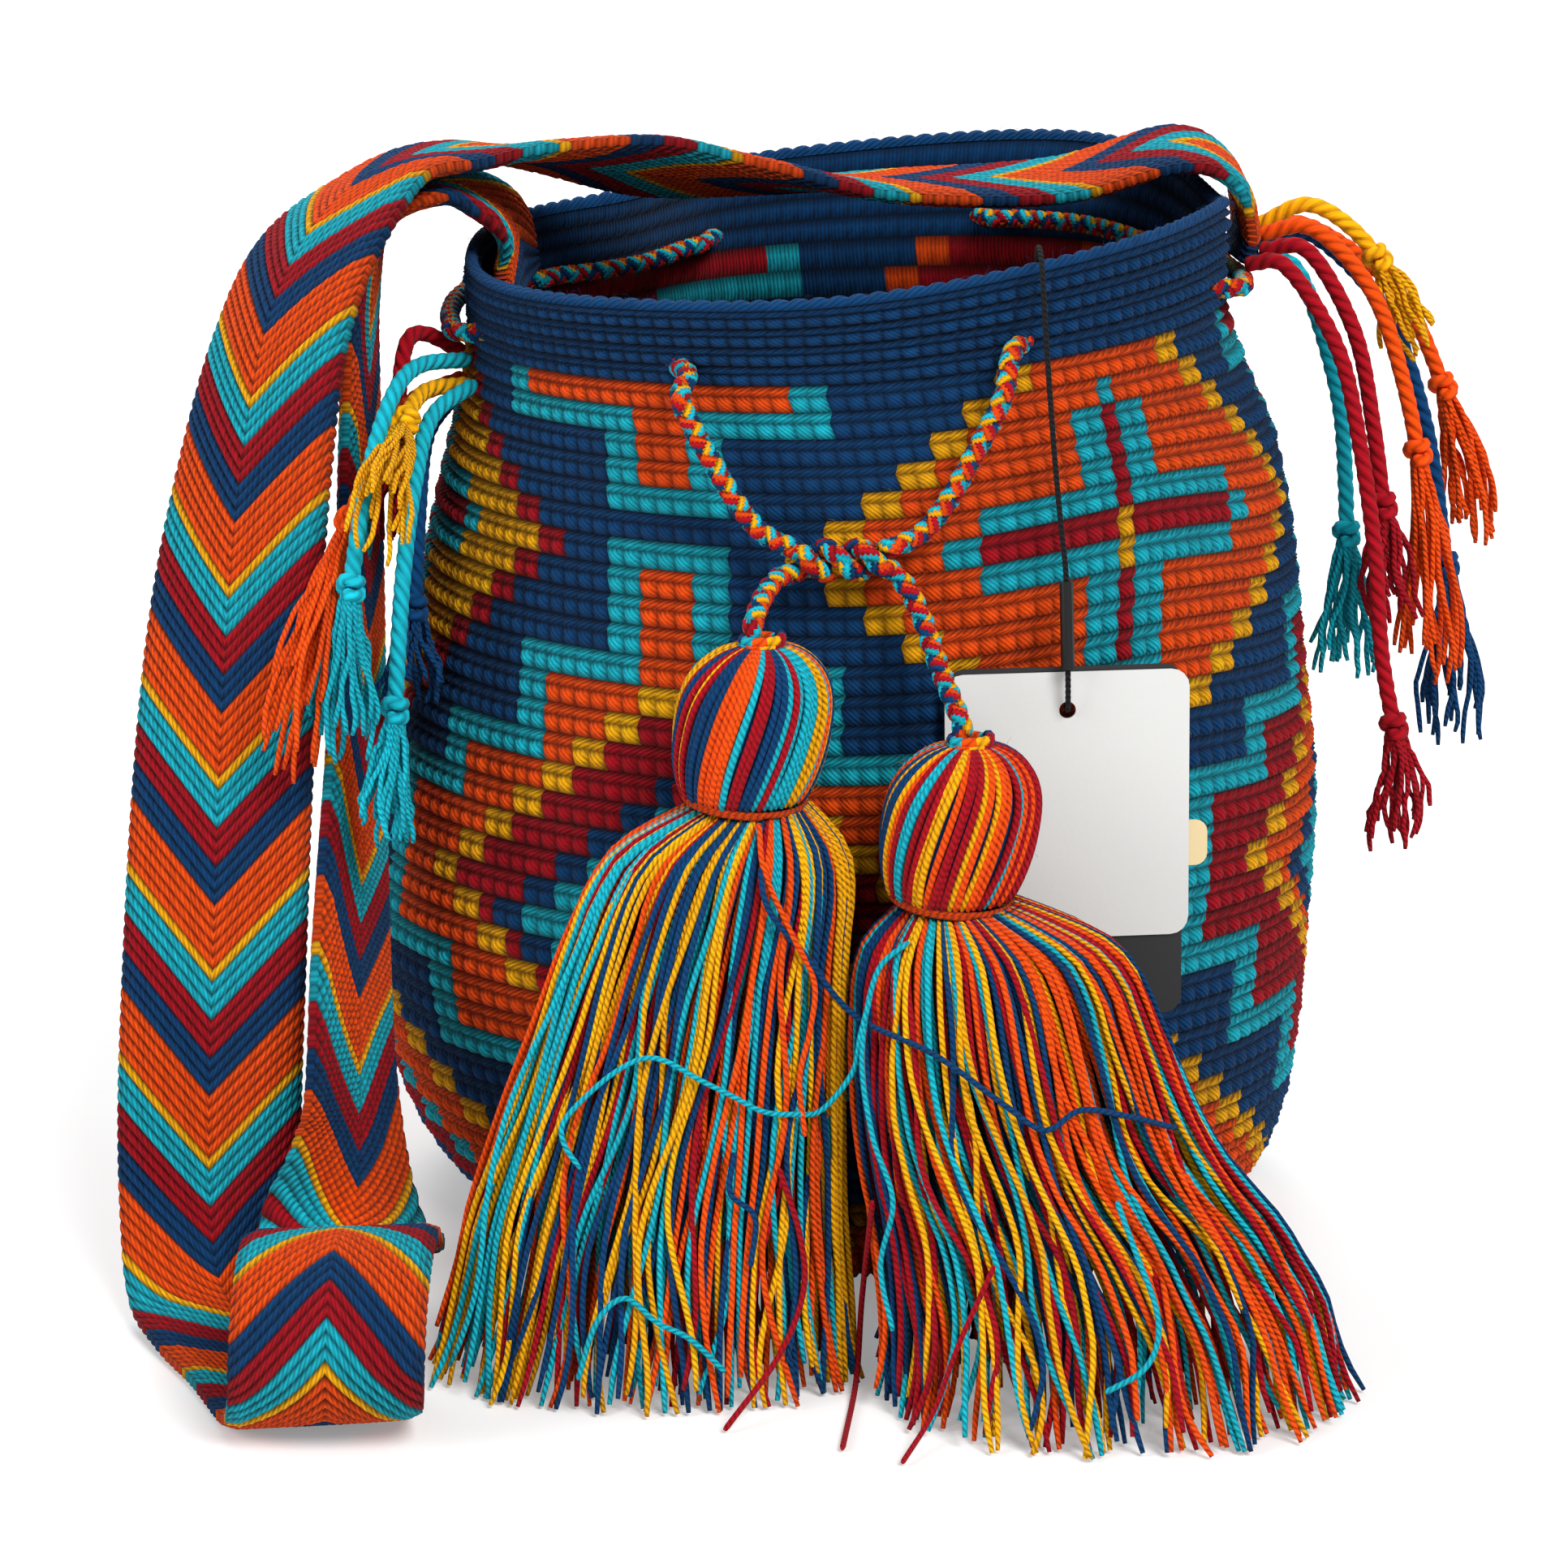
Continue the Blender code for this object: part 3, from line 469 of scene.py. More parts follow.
def drawstring_route():
    over = HEAD_HEIGHT / 2 + 3 * CLEAR
    left_top = (*LEFT_HEAD[:2], LEFT_HEAD[2] + over)
    right_top = (*RIGHT_HEAD[:2], RIGHT_HEAD[2] + over)
    return ([right_top] + TO_RIGHT_TASSEL[::-1] + knot_points(90)[::-1] + LEFT_END[::-1]
            + threaded_points() + RIGHT_END + knot_points(270)[::-1] + TO_LEFT_TASSEL
            + [left_top])


PLAIT_PITCH = 0.0105        # a strand goes once round the cord in this length
PLAIT_STRANDS = 2           # strands that go round each way
PLAIT_SIDES = 16
PLAIT_YARNS = 3             # thin yarns side by side in a strand, each with its colour


def plait(angle, along):
    """How far on each way's strands are at a spot, and which way lies on top."""
    left = PLAIT_STRANDS * (angle / (2 * math.pi) + along / PLAIT_PITCH)
    right = PLAIT_STRANDS * (angle / (2 * math.pi) - along / PLAIT_PITCH)
    return left, right, (np.floor(left) + np.floor(right)) % 2 < 0.5


def make_drawstring():
    """A round plait: strands of mixed yarn cross over each other both ways."""
    route = drawstring_route()
    n = max(24, int(resample(route, 3)[1] / 0.0006))
    path, length = resample(route, n, 1600)
    s = np.linspace(0, length, n)[:, None]
    a = np.linspace(0, 2 * math.pi, PLAIT_SIDES, endpoint=False)[None, :]
    left, right, over = plait(a, s)
    top = np.where(over, left, right)
    rib = np.abs(np.sin(math.pi * top)) ** 0.6 - 0.12 * np.abs(np.cos(3 * math.pi * top))
    r = CORD / 2 * (0.70 + 0.38 * rib)
    r[[0, -1]] *= 0.6
    verts, faces, caps = round_body(path, r, a)
    am = a + math.pi / PLAIT_SIDES
    sm = s[:-1] + length / n / 2
    left, right, over = plait(am, sm)
    strand = np.where(over, (np.floor(left) % PLAIT_STRANDS) * 2,
                      (np.floor(right) % PLAIT_STRANDS) * 2 + 1).astype(int)
    part = np.where(over, left - np.floor(left), right - np.floor(right))
    yarn = (part * PLAIT_YARNS).astype(int)
    table = np.array([YARN[c] for c in MIXED])
    pick = (strand * 2 + yarn * 3 + (yarn + strand) // 3) % len(MIXED)
    wobble = 1 + 0.16 * (((strand * 13 + yarn * 5) % 7) / 6 - 0.5)
    colours = np.clip(table[pick].reshape(-1, 3) * wobble.reshape(-1, 1), 0, 1)
    colours = np.concatenate([colours, np.broadcast_to(table[0], (caps, 3))])
    phase = np.where(over, left, right) * PLAIT_YARNS
    ply = PLAIT_PITCH / 6
    uv = np.repeat(np.stack([phase, sm / ply + 0 * am], -1).reshape(-1, 1, 2), 4, axis=1)
    du = PLAIT_YARNS * PLAIT_STRANDS / PLAIT_SIDES / 2
    dv = length / n / ply / 2
    uv = (uv + np.array([[-du, -dv], [du, -dv], [du, dv], [-du, dv]])[None]).reshape(-1, 2)
    # painted shade: the plait's colour darkens where its surface dips between strands
    obj = mesh_piece("drawstring_plait", verts, faces, colours, with_cap_uvs(uv, caps), PLIED,
                     np.clip(0.25 + 0.85 * rib, 0, 1).reshape(-1))
    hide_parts("drawstring")
    tuple(path[0])
    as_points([tuple(p) for p in path[::4]] + [tuple(path[-1])])


make_drawstring()


# loose end cords of the strap: colour, where the knot sits, route
FRINGE_CORD = 0.0044
FRINGE = {
    "fringe_left_red": ("red", 0.70, [
        (-0.0983, -0.0105, 0.2275), (-0.1075, -0.0120, 0.2325), (-0.1120, -0.0180, 0.2315),
        (-0.1140, -0.0240, 0.2190), (-0.1145, -0.0290, 0.2000), (-0.1150, -0.0330, 0.1820)]),
    "fringe_left_yellow": ("yellow", 0.30, [
        (-0.0966, -0.0248, 0.2219), (-0.1070, -0.0400, 0.2225), (-0.1115, -0.0620, 0.2150),
        (-0.1145, -0.0840, 0.2040), (-0.1175, -0.0960, 0.1890), (-0.1200, -0.1050, 0.1740),
        (-0.1210, -0.1080, 0.1620)]),
    "fringe_left_orange": ("orange", 0.46, [
        (-0.0979, -0.0180, 0.2222), (-0.1095, -0.0290, 0.2190), (-0.1160, -0.0460, 0.2120),
        (-0.1230, -0.0650, 0.1980), (-0.1300, -0.0830, 0.1780), (-0.1365, -0.0960, 0.1530),
        (-0.1410, -0.1030, 0.1280)]),
    "fringe_left_teal": ("teal", 0.60, [
        (-0.0964, -0.0243, 0.2282), (-0.1080, -0.0400, 0.2295), (-0.1140, -0.0560, 0.2235),
        (-0.1190, -0.0720, 0.2060), (-0.1225, -0.0880, 0.1800), (-0.1235, -0.0960, 0.1500),
        (-0.1245, -0.1000, 0.1240)]),
    "fringe_left_knotted": ("teal", 0.66, [
        (-0.0947, -0.0318, 0.2230), (-0.1040, -0.0470, 0.2180), (-0.1075, -0.0640, 0.2050),
        (-0.1100, -0.0790, 0.1830), (-0.1120, -0.0900, 0.1500), (-0.1145, -0.0980, 0.1200),
        (-0.1152, -0.1005, 0.1010)]),
    "fringe_left_navy": ("navy", 0.72, [
        (-0.1008, -0.0110, 0.2160), (-0.1070, -0.0240, 0.2080), (-0.1085, -0.0400, 0.1900),
        (-0.1095, -0.0500, 0.1650), (-0.1110, -0.0560, 0.1450)]),
    "fringe_right_red": ("red", 0.80, [
        (0.1044, -0.0074, 0.2500), (0.1140, -0.0130, 0.2500), (0.1270, -0.0190, 0.2300),
        (0.1330, -0.0220, 0.2060), (0.1375, -0.0240, 0.1780), (0.1400, -0.0260, 0.1500),
        (0.1450, -0.0280, 0.1220), (0.1450, -0.0280, 0.0980)]),
    "fringe_right_red_short": ("red", 0.72, [
        (0.1083, -0.0015, 0.2525), (0.1200, -0.0060, 0.2530), (0.1320, -0.0100, 0.2330),
        (0.1375, -0.0130, 0.2080), (0.1410, -0.0150, 0.1820), (0.1435, -0.0160, 0.1560)]),
    "fringe_right_teal": ("teal", 0.68, [
        (0.1084, 0.0045, 0.2500), (0.1190, 0.0050, 0.2450), (0.1290, 0.0020, 0.2160),
        (0.1320, 0.0000, 0.1900), (0.1325, -0.0020, 0.1620), (0.1320, -0.0040, 0.1380)]),
    "fringe_right_orange": ("orange", 0.54, [
        (0.1088, 0.0078, 0.2550), (0.1220, 0.0050, 0.2570), (0.1370, 0.0000, 0.2420),
        (0.1460, -0.0030, 0.2180), (0.1520, -0.0060, 0.1880), (0.1550, -0.0080, 0.1560),
        (0.1550, -0.0090, 0.1320)]),
    "fringe_right_yellow": ("yellow", 0.56, [
        (0.1085, 0.0142, 0.2562), (0.1220, 0.0125, 0.2620), (0.1360, 0.0110, 0.2530),
        (0.1450, 0.0090, 0.2380), (0.1510, 0.0070, 0.2200)]),
    "fringe_right_navy": ("navy", 0.70, [
        (0.1079, 0.0192, 0.2510), (0.1230, 0.0200, 0.2530), (0.1430, 0.0210, 0.2330),
        (0.1540, 0.0190, 0.2050), (0.1600, 0.0170, 0.1720), (0.1630, 0.0150, 0.1400),
        (0.1640, 0.0140, 0.1150)]),
    "fringe_right_amber": ("orange", 0.62, [
        (0.1076, 0.0270, 0.2530), (0.1240, 0.0280, 0.2535), (0.1480, 0.0340, 0.2350),
        (0.1610, 0.0340, 0.2090), (0.1680, 0.0330, 0.1850), (0.1710, 0.0320, 0.1640)]),
}
# how much of the rest of its route a tuft takes up, where that isn't all of it
TUFT_SHARE = {"fringe_left_yellow": 0.56, "fringe_left_orange": 0.86,
              "fringe_left_teal": 0.78, "fringe_left_knotted": 0.74}
FRINGE_KNOT = 0.0023        # radius of the cord's turn round itself
KNOT_YARN = 0.0017          # radius of the cord in it
TUFT_YARNS = 20
TUFT_YARN = 0.00070         # radius
TUFT_PITCH = 0.0034
TUFT_POINTS = 12            # points of a loose yarn before it is smoothed


def knot_loop(middle, run, side, other):
    """The cord's turn round itself."""
    loop = []
    for k in range(26):
        a = 2 * math.pi * 1.35 * k / 25
        loop.append(middle + side * math.cos(a) * FRINGE_KNOT
                    + other * math.sin(a) * FRINGE_KNOT
                    + run * (0.0026 * (k / 25 - 0.5) * 2 + 0.0008 * math.sin(2 * a)))
    return loop


def fringe_tuft(name, colour, path, knot):
    """The knot and the frayed yarns below it."""
    bundle = Bundle()
    run = path[min(knot + 6, len(path) - 1)] - path[knot]
    run /= np.linalg.norm(run)
    side = np.cross(run, (0.0, 1.0, 0.0))
    side /= np.linalg.norm(side)
    other = np.cross(run, side)
    bundle.yarn(shade_of(colour), knot_loop(path[knot], run, side, other),
                KNOT_YARN, 8, 0.006, lobes=0.16)
    below = path[knot:knot + int((len(path) - knot) * TUFT_SHARE.get(name, 1.0))]
    for k in range(TUFT_YARNS):
        a = 2.4 * k
        spread = 0.0010 + 0.0062 * math.sqrt(RNG.random())
        last = RNG.uniform(0.66, 1.0)
        wave = RNG.uniform(0.0004, 0.0016)
        turn = RNG.uniform(0, 6.28)
        swing = RNG.uniform(-1, 1) * 0.0030
        points = []
        for n in range(TUFT_POINTS):
            t = n / (TUFT_POINTS - 1) * last
            spot = below[int(t * (len(below) - 1))]
            out = 0.0010 + spread * min(1.0, t * 1.5)
            bend = wave * math.sin(turn + 7.0 * t) * min(1.0, t * 3)
            stir = np.array([RNG.uniform(-1, 1), RNG.uniform(-1, 1), 0.0]) * 0.0004
            points.append(spot + side * (math.cos(a) * out + swing * t * t + bend)
                          + other * (math.sin(a) * out + bend * 0.6) + stir)
        bundle.yarn(shade_of(colour, 0.16), resample(points, 18, 120)[0],
                    TUFT_YARN, 6, TUFT_PITCH)
    return bundle.piece(name + "_tuft")


def make_fringe():
    for name, (colour, knot_at, route) in FRINGE.items():
        path, length = resample(route, 90)
        knot = int(knot_at * 89)
        cord_path = path[:knot + 1]
        n = max(30, int(length * knot_at / 0.0011))
        fine = resample([tuple(p) for p in cord_path], n, 900)[0]
        bundle = Bundle()
        bundle.yarn(shade_of(colour, 0.05), fine, FRINGE_CORD / 2, 12, 0.0115, 3, 0.20,
                    round_ends=False)
        obj = bundle.piece(name + "_cord")
        tuft = fringe_tuft(name, colour, path, knot)
        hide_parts(name)
        run = np.linalg.norm(np.diff(cord_path, axis=0), axis=1).sum()
        tuple(path[0])
        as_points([tuple(p) for p in fine[::2]] + [tuple(fine[-1])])


make_fringe()


# hang tag
STRING = 0.0015
SLEEVE_TOP = (0.0538, -0.1005, 0.1885)
SLEEVE_END = (0.0543, -0.1049, 0.1665)
STRING_ROUTE = [
    (0.0466, -0.0745, 0.2520), (0.0467, -0.0746, 0.2580), (0.0468, -0.0756, 0.2635),
    (0.0470, -0.0788, 0.2668), (0.0473, -0.0835, 0.2662), (0.0477, -0.0880, 0.2615),
    (0.0482, -0.0906, 0.2520), (0.0495, -0.0935, 0.2340), (0.0510, -0.0962, 0.2160),
    (0.0525, -0.0985, 0.2010), SLEEVE_TOP, SLEEVE_END,
    (0.0544, -0.1051, 0.1610), (0.0545, -0.1043, 0.1575), (0.0545, -0.1020, 0.1560),
    (0.0545, -0.1000, 0.1562), (0.0545, -0.0989, 0.1590), (0.0545, -0.0983, 0.1630),
]


def make_string():
    path, length = resample(STRING_ROUTE, 260)
    bundle = Bundle()
    bundle.yarn((0.012, 0.012, 0.014), path, STRING / 2, 8, 0.0030, lobes=0.22)
    obj = bundle.piece("tag_string_twist")
    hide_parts("tag_string")
    tuple(path[0])
    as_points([tuple(p) for p in path[::4]] + [tuple(path[-1])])


make_string()


# pattern of the bag, by rule, in stitches round and rows down
STITCHES = 150
REPEAT = 50
LAST_ROW = 34               # rows of pattern, counted down from 0
TOP_ROW = 35.4
ROWS_HIGH = 38.0
PATTERN_TOP = 35.0          # where the pattern starts, in rows from the base
STITCH_WIDE = 4.3           # mm
STITCH_HIGH = 6.7           # mm
# the stepped edge of the key's diamond: from and to, in stitches, for each row
KEY_EDGE = {10: (1.5, 9.5), 11: (7.5, 9.5), 12: (7.5, 9.5), 13: (7.5, 15.5),
            14: (13.5, 15.5), 15: (13.5, 20.5), 16: (18.5, 20.5), 17: (18.5, 20.5),
            18: (18.5, 20.5), 19: (18.5, 20.5), 20: (18.5, 20.5), 21: (13.5, 20.5),
            22: (13.5, 15.5), 23: (13.5, 15.5), 24: (7.5, 15.5), 25: (7.5, 9.5),
            26: (7.5, 9.5), 27: (-1.0, 9.5)}


def motif_key(d, t):
    """The key: a bar and stem, then a stepped diamond. d is stitches away."""
    a = abs(d)
    if t in (0, 1):
        inner = -9.5 < d < 7.5 if t == 0 else a < 1.5
        return "orange" if inner else "teal" if -11.5 < d < 9.5 else None
    if t in (2, 3, 7, 8, 9):
        return "orange" if a < 1.5 else "teal" if a < 3.5 else None
    if t in (4, 6):
        return "teal" if a < 3.5 else None
    if t not in KEY_EDGE or a >= KEY_EDGE[t][1]:
        return None
    if a >= KEY_EDGE[t][0]:
        return "teal"
    half, core = 15.5 - 2 * abs(t - 18), 11.0 - 2 * abs(t - 19)
    if a >= half:
        return "orange"
    if a >= half - 2:
        return "yellow"
    if a >= core:
        return "red"
    return "navy" if a >= core - 2 else "teal"


def motif_cross(d, t):
    """The diamond with a cross inside it. d is stitches away, right positive."""
    k = 6 - t
    half = 18.5 - 2 * abs(k)
    a = abs(d)
    if a >= half or k < -9:
        return None
    if a >= half - 2 or (k in (0, -1) and a < 1.0):
        return "yellow"
    if k == 0:
        return "red" if a < 8.5 else "teal" if a < 10.5 else "orange"
    if k == 1 and a < 1.0:
        return "red"
    if k in (1, -1):
        return "teal" if a < 8.5 else "orange"
    if 2 <= k <= 4 or -4 <= k <= -2:
        return "red" if a < 1.0 else "teal" if a < 3.0 else "orange"
    if k == -5:
        return "teal" if a < 3.0 else "orange"
    return "teal" if k in (5, -6) and a < 1.0 else "orange"


def motif_lower(d, t):
    """The lower diamond, which widens down to the base."""
    half = 2 * (t - 22) + 1.5
    a = abs(d)
    if t < 23 or a >= half:
        return None
    for width, colour in ((2, "yellow"), (7, "orange"), (9, "teal"), (13, "red")):
        if a >= half - width:
            return colour
    return "navy"


SWAP = {"orange": "red", "red": "orange"}
# each motif: its middle, its rule, and what colours change in the three repeats
MOTIFS = [
    (-11.0, motif_key, ({}, SWAP, SWAP)),
    (14.0, motif_cross, ({}, {"yellow": "orange", "orange": "red", "red": "navy"},
                         {"yellow": "red", "orange": "yellow"})),
    (14.0, motif_lower, ({}, {}, {})),
]


def stitch_colour(c, t):
    """Colour of stitch c, counted from the front to the right, in row t."""
    if 0 <= t <= LAST_ROW:
        for repeat in range(3):
            for middle, rule, changes in MOTIFS:
                d = (c - (middle + REPEAT * repeat) + STITCHES / 2) % STITCHES - STITCHES / 2
                found = rule(d, t)
                if found:
                    return changes[repeat].get(found, found)
    return "navy"


def row_level(t, angle):
    """How high up the wall a row's line lies; the rows tilt a little."""
    low = np.clip(t / 6, 0, 1) * np.clip(1 - (t - 6) / 22, 0, 1)
    rise = 0.9 * bump(angle, 40, 26) * low
    below = (PATTERN_TOP * (1 - t / TOP_ROW) + rise) / ROWS_HIGH
    above = (PATTERN_TOP - t / 2.6 * (ROWS_HIGH - PATTERN_TOP)) / ROWS_HIGH
    return np.clip(np.where(np.asarray(t) < 0, above, below), 0, 1)


def drift(t, angle):
    """Crochet leans: how many stitches a row is shifted from row 10."""
    return (t - 10) * (0.04 - 0.2 * np.sin(2 * angle)) * 0.8


RIM_ROWS = [-2.6, -1.95, -1.3, -0.65]        # lines of the plain rows over the pattern
ROW_LINES = RIM_ROWS + [k * TOP_ROW / 35 for k in range(36)]
STITCH_TURN = 2 * math.pi / STITCHES
STITCH_ROOT = 0.0018        # how deep in the wall the stitches' gaps lie
OUTSIDE_DEPTH = 0.0021      # how far a stitch stands out of its gaps
INSIDE_DEPTH = 0.0013
# lines across a row from its bottom up: how high, how far out, how far shifted
FINE_LINES = [(0.0, 0.00, 0.13), (0.13, 0.80, 0.07), (0.30, 1.00, 0.0),
              (0.46, 0.82, -0.07), (0.60, 0.08, -0.13), (0.80, 0.84, 0.0)]
PLAIN_LINES = [(0.0, 0.0, 0.0), (0.35, 1.0, 0.0), (0.65, 0.75, 0.0)]
CHAIN = 0.6                 # from here up a row shows the chain on the stitches' tops
# how far out the corners across a stitch stand, below the chain and in it
FINE_CORNERS = np.array([[0.22, 0.86, 1.0, 0.84], [0.52, 0.98, 1.0, 0.80]])
PLAIN_CORNERS = np.array([[0.55, 1.0], [0.75, 1.0]])


def slanted(turn, scale=1.0):
    """UVs whose plies run at an angle to the row, from millimetres."""
    ca, sa = math.cos(turn), math.sin(turn)

    def place(x, y):
        return np.stack([(-x * sa + y * ca) / scale, (x * ca + y * sa) / scale], -1)

    return place


def crochet_rows(name, first, last, side, fine):
    """Rows of stitches as one piece; side 1 is the outside, -1 the inside."""
    levels, corners = (FINE_LINES, FINE_CORNERS) if fine else (PLAIN_LINES, PLAIN_CORNERS)
    per = corners.shape[1]
    u = (np.arange(STITCHES)[:, None] + np.arange(per)[None, :] / per).ravel()
    stitch = np.arange(len(u)) // per
    jitter = NRNG.normal(0, 1, (len(ROW_LINES) + 1, STITCHES))
    scatter = NRNG.random((len(ROW_LINES) + 1, STITCHES)) * 5.0
    # from the top row down, each from its own top; first the line over them all
    none = np.zeros(len(u))
    lines = [(ROW_LINES[first], levels[0][2], none, none)]
    bands = []
    for t in range(first, last):
        top, low = ROW_LINES[t], ROW_LINES[t + 1]
        for n, (v, height, shift) in reversed(list(enumerate(levels))):
            raised = height * np.tile(corners[int(v >= CHAIN)], STITCHES)
            lines.append((low + (top - low) * v, shift, raised, jitter[t][stitch]))
            bands.append((t, v, levels[n + 1][0] if n + 1 < len(levels) else 1.0))
    verts, painted_shade = [], []
    depth = OUTSIDE_DEPTH if side > 0 else INSIDE_DEPTH
    for t, shift, h, noise in lines:
        angle = (u + shift + drift(t, u * STITCH_TURN)) * STITCH_TURN
        out = -STITCH_ROOT + depth * h + 0.00012 * noise * (h > 0.2)
        if side < 0:
            out = -(WALL - 0.0002) - (depth * h - 0.0007)
        verts.append(wall(row_level(t, angle), angle, out))
        # painted shade: corners deep in the gaps between stitches and rows get a darker
        # colour, down to a fifth
        painted_shade.append(0.20 + 0.80 * np.clip(h, 0, 1) ** 0.8)
    colours, uvs = [], []
    for t, v, above in bands:
        row = np.array([YARN[stitch_colour(s, t - len(RIM_ROWS))] for s in range(STITCHES)])
        row = np.clip(row * (1 + 0.07 * jitter[t])[:, None], 0, 1)
        colours.append(row[stitch])
        # fibres slant one way low in the stitch and the other way at its top
        turn = (36 if v >= CHAIN else -52) if fine else 90
        x0 = u * STITCH_WIDE + scatter[t][stitch]
        uvs.append(corner_uvs(slanted(math.radians(turn)), x0, x0 + STITCH_WIDE / per,
                              v * STITCH_HIGH, above * STITCH_HIGH))
    faces = band_faces(len(lines), len(u))[:, [3, 2, 1, 0] if side > 0 else [2, 3, 0, 1]]
    uvs = np.concatenate(uvs)
    if side < 0:
        uvs = uvs[:, [1, 0, 3, 2]]
    obj = mesh_piece(name, np.concatenate(verts), faces, np.concatenate(colours),
                     uvs.reshape(-1, 2), CROCHET, np.concatenate(painted_shade))
    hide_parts("bag_body")


def make_rim():
    """The rounded top edge: a chain of slanted loops over the rim."""
    per, last = 4, 8
    u = np.arange(STITCHES * per) / per
    rim = np.ones(len(u))
    loop = np.interp(u % 1.0, [0, 0.25, 0.5, 0.75], [0.45, 0.9, 1.0, 0.85])
    verts, uvs = [], []
    for k, a in enumerate(np.linspace(0, math.pi, last + 1)):
        slant = 0.30 * k / last
        angle = (u + 0.13 + slant + drift(RIM_ROWS[0], u * STITCH_TURN)) * STITCH_TURN
        p = wall(rim, angle)
        normal = p - wall(rim, angle, -1.0)
        bulge = math.sin(a) ** 0.5 if 0 < k < last else 0.0
        r = WALL / 2 - 0.0010 + 0.0013 * loop * bulge
        x = -WALL / 2 + r * math.cos(a)
        if k in (0, last):
            x = rim * (-WALL + 0.0004 if k else -0.0013)
        z = (r + 0.0004) * math.sin(a)
        verts.append(p + normal * x[:, None] + np.array([0, 0, 1.0])[None] * z[:, None])
        if k < last:
            x0 = u * STITCH_WIDE
            uvs.append(corner_uvs(slanted(0.7, 1.25), x0, x0 + STITCH_WIDE / per,
                                  k * 0.9, (k + 1) * 0.9))
    tone = 1 + 0.06 * NRNG.normal(0, 1, STITCHES)
    colours = np.array(YARN["navy"])[None] * np.tile(np.repeat(tone, per), last)[:, None]
    obj = mesh_piece("rim_edge", np.concatenate(verts), band_faces(last + 1, len(u)),
                     colours, np.concatenate(uvs).reshape(-1, 2), CROCHET)
    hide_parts("bag_body")


FLOOR_RINGS = {2: "teal", 3: "orange", 4: "orange"}      # the others are navy
ROUND_HIGH = 2.2            # mm


def make_floor(name, lift, side):
    """Rounds of crochet closing the base, or the bag's floor inside."""
    u = np.arange(STITCHES * 2) / 2.0
    edge = wall(np.zeros(len(u)), u * STITCH_TURN, -0.0013 if side > 0 else -WALL)
    middle = np.array([0.003, 0.0, 0.0])
    rounds, per = 13, 2
    last = rounds * per
    corners = 0.75 + 0.25 * (np.arange(len(u)) % 2)

    def place(x, y):
        return np.stack([x, np.full(len(u), y)], -1)

    verts, uvs, colours = [], [], []
    for k in range(last + 1):
        h = math.sin(math.pi * (k % per) / per) * 0.0009 * corners
        p = middle + (edge - middle) * (1 - k / last * 0.985)
        p[:, 2] = (lift + (h if side < 0 else 0.0012 - h)) if k else edge[:, 2]
        verts.append(p)
        if k < last:
            x0 = u * STITCH_WIDE / 1.3
            y0 = k * ROUND_HIGH
            uvs.append(corner_uvs(place, x0, x0 + 1.6, y0, y0 + ROUND_HIGH))
            tint = YARN[FLOOR_RINGS.get(k // per, "navy")]
            colours.append(np.broadcast_to(np.array(tint), (len(u), 3)))
    faces = band_faces(last + 1, len(u))
    obj = mesh_piece(name, np.concatenate(verts), faces if side < 0 else faces[:, ::-1],
                     np.concatenate(colours), np.concatenate(uvs).reshape(-1, 2),
                     CROCHET)
    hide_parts("bag_body")


crochet_rows("wall_outside_upper", 0, 20, 1, True)
crochet_rows("wall_outside_lower", 20, 39, 1, True)
crochet_rows("wall_inside", 0, 39, -1, False)
make_rim()
make_floor("base_underside", 0.0, 1)
make_floor("floor_inside", WALL, -1)


